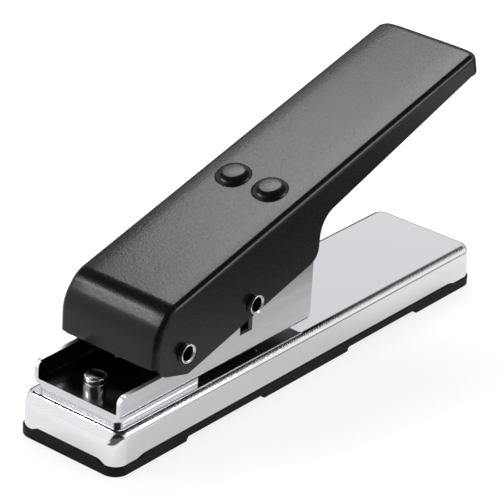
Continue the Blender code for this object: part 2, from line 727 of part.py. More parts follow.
def build_ram(slide):
    """The plectrum-shaped punch, cross bored for its pin and ground hollow on its face."""
    ram = level_plate("ram", pick_outline(0), RAM_FACE - 2 * RAM_EDGE, RAM_TOP, parts)
    round_edges(ram, RAM_EDGE, 2, 60)
    trim = rounded_path(box_corners(BASE_WIDTH, BASE_LENGTH, 0))
    cut(ram, level_plate("ram_face_trim", trim, 0, RAM_FACE, cutters))
    half_chord = PICK_LENGTH / 2
    radius = (half_chord ** 2 + SHEAR_DEPTH ** 2) / (2 * SHEAR_DEPTH)
    middle = RAM_TIP_Y + half_chord
    spread = math.asin(half_chord / radius) * 1.2
    arc = []
    for step in range(2 * ARC_STEPS + 1):
        angle = spread * (step / ARC_STEPS - 1)
        up = RAM_FACE + SHEAR_DEPTH - radius * (1 - math.cos(angle))
        arc.append(Vector((middle - radius * math.sin(angle), up)))
    reach = radius * math.sin(spread)
    floor = [Vector((middle - reach, 0)), Vector((middle + reach, 0))]
    cut(ram, side_plate("ram_hollow_face", arc + floor, -PICK_WIDTH, PICK_WIDTH, cutters))
    cut(ram, cross_cylinder("ram_bore", RAM_PIN_Y, RAM_PIN_Z, HOLE_RADIUS, PICK_WIDTH))
    ram.data.transform(Matrix.Translation(-slide.location))
    for modifier in ram.modifiers:
        if modifier.type == "BOOLEAN":
            modifier.object.data.transform(Matrix.Translation(-slide.location))
            modifier.object.parent = slide
    ram.parent = slide
    return finish(ram, tool_steel)


def handle_side_corners():
    """The top, the end and the curved nose of the handle seen from the side."""
    deep = -2 * HANDLE_TOP
    slant = (NOSE_BULGE - NOSE_FOOT) / (NOSE_BULGE_RISE - NOSE_FOOT_RISE)
    return [
        (NOSE_FOOT + (deep - NOSE_FOOT_RISE) * slant, deep, 0),
        (HANDLE_REAR, deep, 0),
        (HANDLE_REAR, HANDLE_TOP, 0),
        (NOSE_CREST, HANDLE_TOP, NOSE_CREST_ROUND),
        (NOSE_BULGE, NOSE_BULGE_RISE, NOSE_BULGE_ROUND),
    ]


def weigh_edges(block, half, rear, top, corner, end_fillet, side_fillet):
    """Marks how far each edge of the handle's block is to be rounded, as a share of its corners."""
    shape = bmesh.new()
    shape.from_mesh(block.data)
    weight = shape.edges.layers.float.new("bevel_weight_edge")
    for edge in shape.edges:
        first, second = (vertex.co for vertex in edge.verts)
        at_rear = min(first.y, second.y) > rear - GAP
        along_side = abs(first.x - second.x) < GAP and min(abs(first.x), abs(second.x)) > half - GAP
        above_base = max(first.z, second.z) > -HANDLE_TOP
        if along_side and at_rear:
            edge[weight] = 1
        elif along_side and above_base:
            edge[weight] = side_fillet / corner
        elif at_rear and min(first.z, second.z) > top - GAP:
            edge[weight] = end_fillet / corner
    shape.to_mesh(block.data)
    shape.free()


def handle_block(name, inset, group):
    """The drawn form of the handle as a solid, inset by the sheet for its inner side."""
    side = rounded_path(inset_corners(handle_side_corners(), inset), 8)
    half = HANDLE_WIDTH / 2 - inset
    block = side_plate(name, side, -half, half, group)
    corner = HANDLE_END_CORNER - inset
    end_fillet = HANDLE_END_FILLET - inset
    side_fillet = HANDLE_FILLET - inset
    weigh_edges(block, half, HANDLE_REAR - inset, HANDLE_TOP - inset, corner, end_fillet, side_fillet)
    bevel = block.modifiers.new("rounded edges", "BEVEL")
    bevel.width = corner
    bevel.segments = 6
    bevel.limit_method = "WEIGHT"
    return block


def handle_trim_outline():
    """The space under the handle: below the rear lip, the neck, the deep cheeks and the nose."""
    below = -4 * HANDLE_TOP
    before = NOSE_FOOT - HANDLE_TOP
    past = HANDLE_REAR + HANDLE_TOP
    lip_slope = (LIP_RISE_AT_END - LIP_RISE_AT_NECK) / (HANDLE_REAR - NECK)
    lip_step = HANDLE_REAR - LIP_END_LENGTH
    rise_at_step = LIP_RISE_AT_END - LIP_END_LENGTH * lip_slope
    rise_at_end = rise_at_step - LIP_END_DROP
    return [
        (before, below, 0),
        (past, below, 0),
        (past, rise_at_end, 0),
        (lip_step + LIP_END_LENGTH / 4, rise_at_end, LIP_END_DROP),
        (lip_step, rise_at_step, LIP_END_DROP),
        (NECK, LIP_RISE_AT_NECK, NECK_ROUND),
        (CHEEK_REAR, -CHEEK_REAR_DROP, CHEEK_REAR_ROUND),
        (CHEEK_LOW_FRONT, -CHEEK_DROP, CHEEK_FRONT_ROUND),
        (CHEEK_FRONT, -CHEEK_FRONT_DROP, CHEEK_FRONT_ROUND),
        (NOSE_FOOT + HANDLE_SHEET, NOSE_FOOT_RISE, HANDLE_SHEET / 3),
        (before, NOSE_FOOT_RISE, 0),
    ]


def build_handle(tilt):
    """The painted handle: a drawn shell with two raised spring seats on its top."""
    handle = handle_block("handle", 0, parts)
    cut(handle, handle_block("handle_hollow", HANDLE_SHEET, cutters))
    for side, name in ((1, "right"), (-1, "left")):
        join(handle, place_dome("dome_" + name, dome_profile(), side))
        cut(handle, place_dome("dome_cup_" + name, cup_profile(), side))
    cut(handle, cross_cylinder("handle_pivot_hole", 0, 0, HOLE_RADIUS, HANDLE_WIDTH))
    angle = PIN_REST_ANGLE - HANDLE_TILT
    slot = slot_outline(PIN_ARM - PIN_SLOT_PLAY, PIN_ARM, HOLE_RADIUS + GAP / 3, angle)
    cut(handle, side_plate("handle_pin_hole", slot, -HANDLE_WIDTH, HANDLE_WIDTH, cutters))
    trim = rounded_path(handle_trim_outline(), 8)
    cut(handle, side_plate("handle_trim", trim, -HANDLE_WIDTH, HANDLE_WIDTH, cutters))
    handle.parent = tilt
    for modifier in handle.modifiers:
        if modifier.type == "BOOLEAN":
            parent_with_cutters(modifier.object, tilt)
    return finish(handle, black_paint, angle=40)


def parent_with_cutters(cutter, holder):
    cutter.parent = holder
    for modifier in cutter.modifiers:
        if modifier.type == "BOOLEAN":
            modifier.object.parent = holder


def slot_outline(near, far, radius, angle):
    """A short slot that points at the pivot, from one distance to another."""
    points = []
    half_turn = ROUND_STEPS // 2
    for centre, start in ((far, -math.pi / 2), (near, math.pi / 2)):
        for step in range(half_turn + 1):
            swing = start + math.pi * step / half_turn
            local = Vector((centre + radius * math.cos(swing), radius * math.sin(swing)))
            points.append(Matrix.Rotation(angle, 2) @ local)
    return points


def dome_profile():
    top = HANDLE_TOP + DOME_HEIGHT
    root = HANDLE_TOP - HANDLE_SHEET / 2
    shoulder = DOME_FLAT + DOME_ROUND
    foot = DOME_RADIUS - DOME_ROUND
    return [
        (0, top),
        (DOME_FLAT, top),
        (DOME_FLAT + DOME_ROUND / 2, top - DOME_ROUND / 6),
        (shoulder, top - DOME_ROUND / 2),
        (shoulder + DOME_ROUND / 3, top - DOME_ROUND),
        (foot, HANDLE_TOP + DOME_ROUND / 2),
        (foot + DOME_ROUND / 2, HANDLE_TOP + DOME_ROUND / 5),
        (DOME_RADIUS, HANDLE_TOP),
        (DOME_RADIUS, root),
        (0, root),
    ]


def cup_profile():
    top = HANDLE_TOP + DOME_HEIGHT - HANDLE_SHEET
    under = HANDLE_TOP - HANDLE_SHEET
    mouth = DOME_RADIUS - HANDLE_SHEET + GAP
    return [
        (0, top),
        (DOME_FLAT - GAP, top),
        (DOME_FLAT + GAP, top - DOME_ROUND / 2),
        (mouth, under),
        (mouth, under - HANDLE_SHEET),
        (0, under - HANDLE_SHEET),
    ]


def place_dome(name, profile, side):
    dome = turned(name, profile, cutters)
    dome.location = (side * SPRING_X, DOME_ALONG, 0)
    return dome


def spring_seats():
    """The foot of a return spring, its lean, the dip of its lowest turn and its length."""
    top_z = PIVOT_Z + DOME_ALONG * math.sin(HANDLE_TILT) + SPRING_SEAT * math.cos(HANDLE_TILT)
    foot_z = FLOOR_TOP + GAP + SPRING_WIRE
    lean = math.atan2(SPRING_LEAN, top_z - foot_z)
    dip = SPRING_RADIUS * math.sin(lean)
    length = math.hypot(SPRING_LEAN, top_z - foot_z)
    tilt_gain = SPRING_RADIUS * math.tan(HANDLE_TILT - lean)
    return foot_z, lean, dip, length - dip - tilt_gain


def spring_points(length):
    """Centre line of a coil: one close turn at each end and open turns between."""
    open_turns = SPRING_TURNS - 2
    open_pitch = (length - 2 * SPRING_END_PITCH) / open_turns
    points = []
    total = SPRING_TURNS * SPRING_POINTS_A_TURN
    for step in range(total + 1):
        turn = step / SPRING_POINTS_A_TURN
        angle = 2 * math.pi * turn
        height = SPRING_END_PITCH * min(turn, 1)
        height += open_pitch * min(max(turn - 1, 0), open_turns)
        height += SPRING_END_PITCH * max(turn - 1 - open_turns, 0)
        points.append(Vector((SPRING_RADIUS * math.cos(angle), SPRING_RADIUS * math.sin(angle), height)))
    return points


def least_gap(points):
    """Smallest clear distance between stretches of the coil at least half a turn apart."""
    apart = SPRING_POINTS_A_TURN // 2
    nearest = min(
        (points[a] - points[b]).length
        for a in range(len(points))
        for b in range(a + apart + 1, len(points))
    )
    return nearest - 2 * SPRING_WIRE


def build_spring(name, side):
    foot_z, lean, dip, length = spring_seats()
    points = spring_points(length)
    curve = bpy.data.curves.new(name, "CURVE")
    curve.dimensions = "3D"
    curve.bevel_depth = SPRING_WIRE
    curve.bevel_resolution = 1
    curve.use_fill_caps = True
    spline = curve.splines.new("POLY")
    spline.points.add(len(points) - 1)
    for target, point in zip(spline.points, points):
        target.co = (side * point.x, point.y, point.z, 1)
    spring = bpy.data.objects.new(name, curve)
    parts.objects.link(spring)
    spring.location = (side * SPRING_X, SPRING_FOOT_Y, foot_z + dip)
    spring.rotation_euler = (lean, 0, 0)
    curve.materials.append(spring_steel)
    print(name, "least gap to itself in mm:", round(1000 * least_gap(points), 2))
    return spring


def build_spring_peg(name, side):
    """The stud on the bracket floor that centres the foot of a return spring."""
    high = FLOOR_TOP + GAP + PEG_HEIGHT
    low = FLOOR_TOP + GAP
    profile = [
        (0, high),
        (PEG_RADIUS - PEG_ROUND, high),
        (PEG_RADIUS - PEG_ROUND / 3, high - PEG_ROUND / 3),
        (PEG_RADIUS, high - PEG_ROUND),
        (PEG_RADIUS, low),
        (PEG_SHANK, low),
        (PEG_SHANK, FLOOR_UNDERSIDE),
        (0, FLOOR_UNDERSIDE),
    ]
    peg = turned(name, profile, parts, steps=24)
    peg.location = (side * SPRING_X, SPRING_FOOT_Y, 0)
    return finish(peg, bright_steel)


def make_axis(name, location, tilt=0):
    """An empty on a joint's axis, which carries the pieces that move on it."""
    axis = bpy.data.objects.new(name, None)
    axis.empty_display_size = BASE_HEIGHT
    parts.objects.link(axis)
    axis.location = location
    axis.rotation_euler = (tilt, 0, 0)
    return axis


clear_scene()
parts = new_collection("pick_punch")
cutters = new_collection("cutting_shapes")

chrome = make_material("chrome_plate", (0.78, 0.79, 0.81), 0.14, 1.0)
plated_steel = make_material("plated_steel", (0.70, 0.71, 0.73), 0.22, 1.0)
bright_steel = make_material("bright_steel", (0.66, 0.66, 0.67), 0.25, 1.0)
tool_steel = make_material("tool_steel", (0.42, 0.42, 0.43), 0.35, 1.0)
spring_steel = make_material("spring_steel", (0.50, 0.50, 0.52), 0.30, 1.0)
black_paint = make_material("black_paint", (0.022, 0.022, 0.024), 0.42, 0.0)
black_plastic = make_material("black_plastic", (0.018, 0.018, 0.020), 0.55, 0.0)

pivot_axis = make_axis("pivot_axis", (0, PIVOT_Y, PIVOT_Z))
handle_tilt = make_axis("handle_tilt", (0, PIVOT_Y, PIVOT_Z), HANDLE_TILT)
ram_slide = make_axis("ram_slide", (0, RAM_PIN_Y, RAM_PIN_Z))

build_bottom_cover()
build_base_shell()
build_die_plate()
build_front_spacer()
build_bracket()
headed_stud("front_post", 0, POST_Y, SHANK_RADIUS + POST_LIP, POST_HEIGHT)
build_handle(handle_tilt)
tubular_pin("pivot_pin", PIVOT_Y, PIVOT_Z, pivot_axis)
cross_tube("pivot_sleeve", 0, 2 * (INNER_HALF - GAP), SLEEVE_RADIUS, PIVOT_Y, PIVOT_Z, pivot_axis)
build_ram(ram_slide)
tubular_pin("ram_pin", RAM_PIN_Y, RAM_PIN_Z, ram_slide)
collar_centre = PICK_WIDTH / 2 + GAP + COLLAR_LENGTH / 2
for turn_side, word in ((1, "right"), (-1, "left")):
    headed_stud("rivet_" + word, turn_side * RIVET_X, RIVET_Y, SHANK_RADIUS + HEAD_LIP, HEAD_HEIGHT)
    build_die_rivet("die_rivet_" + word, turn_side)
    where = turn_side * collar_centre
    cross_tube("ram_collar_" + word, where, COLLAR_LENGTH, COLLAR_RADIUS, RAM_PIN_Y, RAM_PIN_Z, ram_slide)
    build_spring_peg("spring_peg_" + word, turn_side)
    build_spring("return_spring_" + word, turn_side)
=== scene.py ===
import math

import bmesh
import bpy
from mathutils import Matrix, Vector
from mathutils.geometry import convex_hull_2d


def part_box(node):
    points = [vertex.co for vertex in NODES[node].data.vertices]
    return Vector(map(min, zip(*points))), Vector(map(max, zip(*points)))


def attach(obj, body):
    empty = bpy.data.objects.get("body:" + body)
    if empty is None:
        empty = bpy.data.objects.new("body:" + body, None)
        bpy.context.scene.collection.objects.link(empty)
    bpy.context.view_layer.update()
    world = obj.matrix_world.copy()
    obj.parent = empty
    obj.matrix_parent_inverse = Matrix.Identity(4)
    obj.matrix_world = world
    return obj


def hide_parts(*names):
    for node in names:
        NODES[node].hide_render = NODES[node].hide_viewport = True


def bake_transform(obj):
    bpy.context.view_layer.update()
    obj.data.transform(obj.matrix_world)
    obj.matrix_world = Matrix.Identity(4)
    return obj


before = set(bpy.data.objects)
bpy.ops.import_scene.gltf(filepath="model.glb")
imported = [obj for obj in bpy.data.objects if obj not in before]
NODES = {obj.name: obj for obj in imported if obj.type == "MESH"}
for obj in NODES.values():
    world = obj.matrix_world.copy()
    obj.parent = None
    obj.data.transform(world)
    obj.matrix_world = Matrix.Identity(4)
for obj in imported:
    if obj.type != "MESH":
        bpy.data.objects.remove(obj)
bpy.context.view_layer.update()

# Camera, solved from the outlines in the photo: angles in degrees, lens and sensor in millimetres
CAMERA_PLACE = Vector((0.48829, -0.63377, 0.43926))
CAMERA_AZIMUTH = 37.913
CAMERA_ELEVATION = 26.743
CAMERA_ROLL = 3.460
CAMERA_LENS = 208.34
SENSOR_WIDTH = 36.0
CLIP_START = 0.01
CLIP_END = 50.0

# Lamps: name, direction from the object, width, height and radiance
OBJECT_MIDDLE = Vector((0.0, 0.0, 0.035))
LIGHT_DISTANCE = 1.3
SOFTBOXES = (
    ("back_softbox", (-0.430, 0.450, 0.785), 0.56, 0.35, 8.5),
    ("front_strip", (-0.549, -0.565, 0.616), 0.50, 0.20, 13.0),
    ("right_strip", (0.80, 0.50, 0.34), 0.50, 0.40, 6.0),
)

# World: the light it gives, and the greys that mirrors see of its walls by height (0 level, 1 overhead)
FILL_LIGHT = 0.38
WALL_FOOT = 1.0
WALL_STOPS = ((0.30, 1.0), (0.44, 0.84), (0.53, 0.70), (0.60, 0.28), (0.68, 0.04))
WALL_BLUE = 1.01
OVERHEAD = 0.02
WALL_RISE_IN_FRONT = 0.28

# The walls' open side, and a dark strip low on the side across from it: the cosines and heights between
# which each of them fades in, and their greys
STUDIO_GAP_AZIMUTH = 38.0
OPEN_SIDE_FADE = (0.50, 0.70)
OPEN_HEIGHT_FADE = (0.20, 0.38)
OPEN_LOW = 0.12
OPEN_HIGH = 0.02
STRIP_SIDE_FADE = (0.60, 0.85)
STRIP_HEIGHT_FADE = (0.38, 0.26)
STRIP_GREY = 0.05

# Floor: its grey in plain light, and for mirrors and the camera the grey that is lit and the glow beside it
FLOOR_SIZE = 12.0
FLOOR_GREY = 0.80
FLOOR_TO_CAMERA = (0.34, 0.79)
FLOOR_IN_MIRRORS = (0.90, 0.30)
DARK_FLOOR_IN_MIRRORS = (0.06, 0.07)

# Where the floor is dark in mirrors: a card, an area behind and an area before the open side
CARD_MIDDLE = (0.105, 0.085, 0.0)
CARD_REACH = (0.075, 0.170, 1.0)
CARD_FADE = (1.0, 0.40)
BEHIND_FADE = (0.10, 0.18)
BEFORE_SIDE_FADE = (0.70, 0.82)
BEFORE_DISTANCE_FADE = (0.115, 0.145)

# Materials: the span of a noise that is used, and the slopes on which the chrome's bend ripples
NOISE_SPAN = (0.3, 0.7)
STEEL_ROUGHNESS_SPAN = (0.75, 1.3)
BEND_END = 0.55
BEND_FADE = (0.020, 0.045)

# The two colour entries of a Mix node and its colour result
MIX_COLOURS = (6, 7)
MIX_RESULT = 2

# What the solids give
BASE_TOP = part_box("base_shell")[1].z
FRONT_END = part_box("bottom_cover")[0].y
FLOOR_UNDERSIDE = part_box("bracket")[0].z
HANDLE_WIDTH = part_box("handle")[1].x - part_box("handle")[0].x

# Running gap, and the distances within which the points of a coil and of a carved piece are welded
GAP = 0.0003
SEAM_WELD = GAP / 30
SLIVER_WELD = 0.000002

# Fineness of arcs and round pieces
ARC_STEPS = 14
SHOULDER_STEPS = 8
BEND_STEPS = 22
ROUND_STEPS = 72
DRILL_STEPS = 32
BASE_CORNER_STEPS = 18
SKIRT_STEPS = 5
FOOT_STEPS = 6
NOSE_STEPS = 20
HANDLE_EDGE_STEPS = 12
DOME_STEPS = 12
CROWN_STEPS = 6
WIRE_STEPS = 3

# Arcs in turned profiles: their start and end in degrees from the outward level, and their steps
PIN_FLARE_ARC = (180, 90, 10)
PIN_LIP_ARC = (150, -20, 10)
STUD_SHOULDER_ARC = (90, 0, 8)
POST_GROOVE_ARC = (130, 230, 6)
DOME_FOOT_ARC = (200, 268, 5)

# How squarely a face of the bracket has to look up, down or sideways to count as such
LEVEL_FACING = 0.95
SIDE_FACING = 0.9

# Base
COVER_CORNER = 0.005
COVER_EDGE = 0.0005
COVER_WALL = 0.0012
COVER_FLOOR = 0.0011
LIP_GAP = 0.0001
FOOT_HEIGHT = 0.0017
FRONT_FOOT_LENGTH = 0.0313
MIDDLE_FOOT_LENGTH = 0.0410
REAR_FOOT_LENGTH = 0.0312
FOOT_ROUND = 0.0008
SHELL_INSET = 0.00046
SHELL_SHEET = 0.0012
SHELL_BEND = 0.0014
SHELL_SIDE_BEND = 0.0025
SHELL_SHOULDER = 0.0080
SHELL_SHOULDER_LEAN = math.radians(50)
SHELL_INNER_ROUND = 0.0024
SHELL_CORNER_EDGE = 0.0032
SHELL_SIDE_EDGE = 0.0040
SHELL_END_EDGE = 0.0046
SKIRT_ALONG_SIDE = 0.0130
SKIRT_ALONG_END = 0.0085
SKIRT_RAMP = 0.0030
SKIRT_ROUND = 0.0010

# Bracket and spacer
BRACKET_SHEET = 0.0015
BRACKET_BEND = 0.0020
TRAY_WALL_HEIGHT = 0.00595
TRAY_WALL_CORNER = 0.0024
WALL_STEP_SETBACK = 0.0245
WALL_STEP_ROUND = 0.0050
WALL_STEP_FOOT = 0.0030
WALL_REAR_ROUND = 0.0030
WALL_REAR_TOP_ROUND = 0.0060
SHEET_EDGE = 0.00035
SPACER_CORNER = 0.0026
SPACER_REAR_CORNER = 0.0006

# Mechanism
PIVOT = Vector((0.0, -0.0594, 0.0310))
RAM_PIN = Vector((0.0, -0.0281, 0.0355))
RAM_TRAVEL = 0.0080
PIN_RADIUS = 0.0026
PIN_BORE = 0.0023
PIN_LIP = 0.0002
PIN_RIM_RADIUS = 0.0031
PIN_RIM_LENGTH = 0.0015
HOLE_RADIUS = PIN_RADIUS + GAP
POST_RADIUS = 0.0035
POST_ROUND = 0.0007
POST_GROOVE = 0.0003
RIVET_RADIUS = 0.0034
RIVET_ROUND = 0.0008
STUD_CROWN = 0.0001
SHANK_RADIUS = 0.0020

# Springs
SPRING_RADIUS = 0.0036
SPRING_WIRE = 0.0005
SPRING_TURNS = 14
SPRING_END_PITCH = 0.0012
SPRING_POINTS_A_TURN = 20
SPRING_LEAN = 0.00366

# Handle, in its own frame at the pivot with its top level
HANDLE_TILT = math.radians(14.68)
HANDLE_SHEET = 0.0012
HANDLE_FILLET = 0.0019
HANDLE_TOP = 0.01727
HANDLE_REAR = 0.1506
HANDLE_CROWN = 0.00040
HANDLE_END_CORNER = 0.0042
HANDLE_END_FILLET = 0.0040
NOSE_FOOT = -0.0131
NOSE_FOOT_RISE = 0.0014
NOSE_BULGE = -0.0103
NOSE_BULGE_RISE = 0.01175
NOSE_BULGE_ROUND = 0.0125
NOSE_CREST = -0.0025
NOSE_CREST_ROUND = 0.0100
CHEEK_FRONT = -0.0100
CHEEK_FRONT_DROP = 0.0027
CHEEK_LOW_FRONT = 0.0000
CHEEK_DROP = 0.0085
CHEEK_REAR_DROP = 0.0075
CHEEK_REAR = 0.0624
CHEEK_FRONT_ROUND = 0.0030
CHEEK_REAR_ROUND = 0.0050
NECK = 0.0663
NECK_ROUND = 0.0088
LIP_RISE_AT_NECK = 0.0051
LIP_RISE_AT_END = 0.0105
LIP_END_DROP = 0.0003
LIP_END_LENGTH = 0.0060

# The two domes on the handle; the flank turns from a share of its angle, in degrees, to the whole of it
DOME_ALONG = 0.0576
DOME_SPREAD = 0.0002
DOME_RADIUS = 0.0059
DOME_FLAT = 0.0033
DOME_HEIGHT = 0.0019
DOME_CROWN = 0.00012
DOME_FOOT_ROUND = 0.0002
DOME_FLANK_TURN = 74.0
DOME_FLANK_START = 0.22
CUP_SHOULDER_DROP = 0.00035

# The handle's crown: the shares of half its width at which the form is set, and how late it falls off
CROWN_STATION_SHARES = (0.0, 0.25, 0.48, 0.64, 0.76, 1.0)
CROWN_POWER = 6.0


def direction(azimuth, elevation):
    """Unit vector from the object; azimuth 0 points along -Y and 90 along +X."""
    turn = math.radians(azimuth)
    rise = math.radians(elevation)
    return Vector((math.sin(turn) * math.cos(rise), -math.cos(turn) * math.cos(rise), math.sin(rise)))


def new_object(name, data):
    made = bpy.data.objects.new(name, data)
    bpy.context.scene.collection.objects.link(made)
    return made


def add_camera():
    azimuth = math.radians(CAMERA_AZIMUTH)
    roll = math.radians(CAMERA_ROLL)
    back = direction(CAMERA_AZIMUTH, CAMERA_ELEVATION)
    level = Vector((math.cos(azimuth), math.sin(azimuth), 0.0))
    upright = back.cross(level)
    right = level * math.cos(roll) + upright * math.sin(roll)
    up = back.cross(right)
    turn = Matrix((right, up, back)).transposed()
    data = bpy.data.cameras.new("camera")
    data.lens = CAMERA_LENS
    data.sensor_width = SENSOR_WIDTH
    data.clip_start = CLIP_START
    data.clip_end = CLIP_END
    camera = new_object("camera", data)
    camera.matrix_world = Matrix.Translation(CAMERA_PLACE) @ turn.to_4x4()
    bpy.context.scene.camera = camera


def add_softbox(name, towards, width, height, radiance):
    """A rectangular lamp that faces the object; radiance is its brightness as seen from there."""
    data = bpy.data.lights.new(name, "AREA")
    data.shape = "RECTANGLE"
    data.size = width
    data.size_y = height
    data.energy = radiance * width * height * math.pi
    lamp = new_object(name, data)
    away = Vector(towards)
    place = OBJECT_MIDDLE + away.normalized() * LIGHT_DISTANCE
    lamp.matrix_world = Matrix.Translation(place) @ away.to_track_quat("Z", "Y").to_matrix().to_4x4()
    lamp.visible_camera = False


def new_tree(owner):
    owner.use_nodes = True
    tree = owner.node_tree
    tree.nodes.clear()
    return tree


def node(tree, kind, **values):
    """A new node; a value goes to the setting of its name, or else to the entry, with spaces for underscores."""
    made = tree.nodes.new(kind)
    for key, value in values.items():
        if hasattr(made, key):
            setattr(made, key, value)
        else:
            made.inputs[key.replace("_", " ")].default_value = value
    return made


def feed(target, entry, value):
    """Links another node's output to an entry of a node, or writes a plain value there."""
    if isinstance(value, bpy.types.NodeSocket):
        target.id_data.links.new(value, target.inputs[entry])
    else:
        target.inputs[entry].default_value = value


def maths(tree, operation, *values):
    made = node(tree, "ShaderNodeMath", operation=operation)
    for entry, value in enumerate(values):
        feed(made, entry, value)
    return made.outputs["Value"]


def vector_maths(tree, operation, *values):
    made = node(tree, "ShaderNodeVectorMath", operation=operation)
    for entry, value in enumerate(values):
        feed(made, entry, value)
    return made.outputs["Vector" if operation == "NORMALIZE" else "Value"]


def split(tree, vector):
    """The three parts of a vector as the outputs X, Y and Z."""
    made = node(tree, "ShaderNodeSeparateXYZ")
    feed(made, "Vector", vector)
    return made.outputs


def remap(tree, value, start, end, low=0.0, high=1.0, course="LINEAR"):
    """Takes a value from the span start to end onto the span low to high, and holds it at both ends."""
    made = node(
        tree, "ShaderNodeMapRange", interpolation_type=course,
        From_Min=start, From_Max=end, To_Min=low, To_Max=high,
    )
    feed(made, "Value", value)
    return made.outputs["Result"]


def fade_in(tree, value, start, end):
    """Nothing at the start, one at the end and a soft change between; the start may be the larger."""
    return remap(tree, value, start, end, course="SMOOTHSTEP")


def mix_colours(tree, share, *colours):
    made = node(tree, "ShaderNodeMix", data_type="RGBA")
    feed(made, 0, share)
    for entry, colour in zip(MIX_COLOURS, colours):
        feed(made, entry, colour)
    return made.outputs[MIX_RESULT]


def mix_shaders(tree, share, first, second):
    made = node(tree, "ShaderNodeMixShader")
    for entry, value in enumerate((share, first, second)):
        feed(made, entry, value)
    return made.outputs[0]


def grey(level):
    return (level, level, level, 1.0)


def show_by_ray(tree, output, in_light, in_mirrors, to_camera):
    """Ends a tree with one shader for plain light, one for mirror rays and one for the camera."""
    path = node(tree, "ShaderNodeLightPath")
    indirect = mix_shaders(tree, path.outputs["Is Glossy Ray"], in_light, in_mirrors)
    seen = mix_shaders(tree, path.outputs["Is Camera Ray"], indirect, to_camera)
    feed(node(tree, output), "Surface", seen)


def background(tree, colour, strength=1.0):
    made = node(tree, "ShaderNodeBackground", Strength=strength)
    feed(made, "Color", colour)
    return made.outputs[0]


def wall_shades(tree, height):
    """The grey of the studio's walls at a height: pale at the foot and nearly black overhead."""
    shades = node(tree, "ShaderNodeValToRGB")
    stops = shades.color_ramp.elements
    stops[0].color = grey(WALL_FOOT)
    stops[1].color = grey(OVERHEAD)
    for position, level in WALL_STOPS:
        stops.new(position).color = (level, level, level * WALL_BLUE, 1.0)
    feed(shades, "Fac", height)
    return shades.outputs["Color"]


def add_world():
    """Pale studio walls, open on one side, and dark overhead where only the softboxes shine."""
    world = bpy.data.worlds.new("studio")
    bpy.context.scene.world = world
    tree = new_tree(world)
    place = node(tree, "ShaderNodeTexCoord").outputs["Generated"]
    parts = split(tree, place)
    to_open_side = direction(STUDIO_GAP_AZIMUTH, 0.0)
    in_front = maths(tree, "MINIMUM", parts["Y"], 0.0)
    walls = wall_shades(tree, maths(tree, "MULTIPLY_ADD", in_front, WALL_RISE_IN_FRONT, parts["Z"]))
    opening = fade_in(tree, vector_maths(tree, "DOT_PRODUCT", place, to_open_side), *OPEN_SIDE_FADE)
    beyond = mix_colours(tree, fade_in(tree, parts["Z"], *OPEN_HEIGHT_FADE), grey(OPEN_LOW), grey(OPEN_HIGH))
    walls = mix_colours(tree, opening, walls, beyond)
    across = fade_in(tree, vector_maths(tree, "DOT_PRODUCT", place, -to_open_side), *STRIP_SIDE_FADE)
    strip = maths(tree, "MULTIPLY", across, fade_in(tree, parts["Z"], *STRIP_HEIGHT_FADE))
    walls = mix_colours(tree, strip, walls, grey(STRIP_GREY))
    fill = background(tree, grey(1.0), FILL_LIGHT)
    show_by_ray(tree, "ShaderNodeOutputWorld", fill, background(tree, walls), background(tree, grey(1.0)))


def lit_and_glowing(tree, lit, glow):
    """A pale surface that takes one share of its brightness from the lamps and has the rest by itself."""
    both = node(tree, "ShaderNodeAddShader")
    feed(both, 0, node(tree, "ShaderNodeBsdfDiffuse", Color=grey(lit)).outputs[0])
    feed(both, 1, node(tree, "ShaderNodeEmission", Color=grey(1.0), Strength=glow).outputs[0])
    return both.outputs[0]


def dark_floor(tree):
    """One where the floor is dark in mirrors: right of the tool, well behind it and before its open side."""
    place = node(tree, "ShaderNodeTexCoord").outputs["Object"]
    to_open_side = direction(STUDIO_GAP_AZIMUTH, 0.0)
    shifted = node(tree, "ShaderNodeMapping", vector_type="TEXTURE", Location=CARD_MIDDLE, Scale=CARD_REACH)
    feed(shifted, "Vector", place)
    card = fade_in(tree, vector_maths(tree, "LENGTH", shifted.outputs["Vector"]), *CARD_FADE)
    behind = fade_in(tree, vector_maths(tree, "DOT_PRODUCT", place, -to_open_side), *BEHIND_FADE)
    heading = vector_maths(tree, "NORMALIZE", place)
    before = maths(
        tree, "MULTIPLY",
        fade_in(tree, vector_maths(tree, "DOT_PRODUCT", heading, to_open_side), *BEFORE_SIDE_FADE),
        fade_in(tree, vector_maths(tree, "LENGTH", place), *BEFORE_DISTANCE_FADE),
    )
    return maths(tree, "MAXIMUM", card, maths(tree, "MAXIMUM", behind, before))


def add_floor():
    mesh = bpy.data.meshes.new("floor")
    half = FLOOR_SIZE / 2
    corners = [(-half, -half, 0), (half, -half, 0), (half, half, 0), (-half, half, 0)]
    mesh.from_pydata(corners, [], [(0, 1, 2, 3)])
    floor = new_object("floor", mesh)
    material = bpy.data.materials.new("pale_floor")
    tree = new_tree(material)
    plain = node(tree, "ShaderNodeBsdfDiffuse", Color=grey(FLOOR_GREY)).outputs[0]
    pale = lit_and_glowing(tree, *FLOOR_IN_MIRRORS)
    dark = lit_and_glowing(tree, *DARK_FLOOR_IN_MIRRORS)
    mirrored = mix_shaders(tree, dark_floor(tree), pale, dark)
    show_by_ray(tree, "ShaderNodeOutputMaterial", plain, mirrored, lit_and_glowing(tree, *FLOOR_TO_CAMERA))
    mesh.materials.append(material)


def surface(name, colour, roughness, metallic=0.0, specular=0.5):
    """A Principled material with its output, ready for the detail that each finish adds."""
    material = bpy.data.materials.new(name)
    tree = new_tree(material)
    shader = node(
        tree, "ShaderNodeBsdfPrincipled", Base_Color=(*colour, 1.0),
        Roughness=roughness, Metallic=metallic, Specular_IOR_Level=specular,
    )
    feed(node(tree, "ShaderNodeOutputMaterial"), "Surface", shader.outputs["BSDF"])
    return material, tree, shader


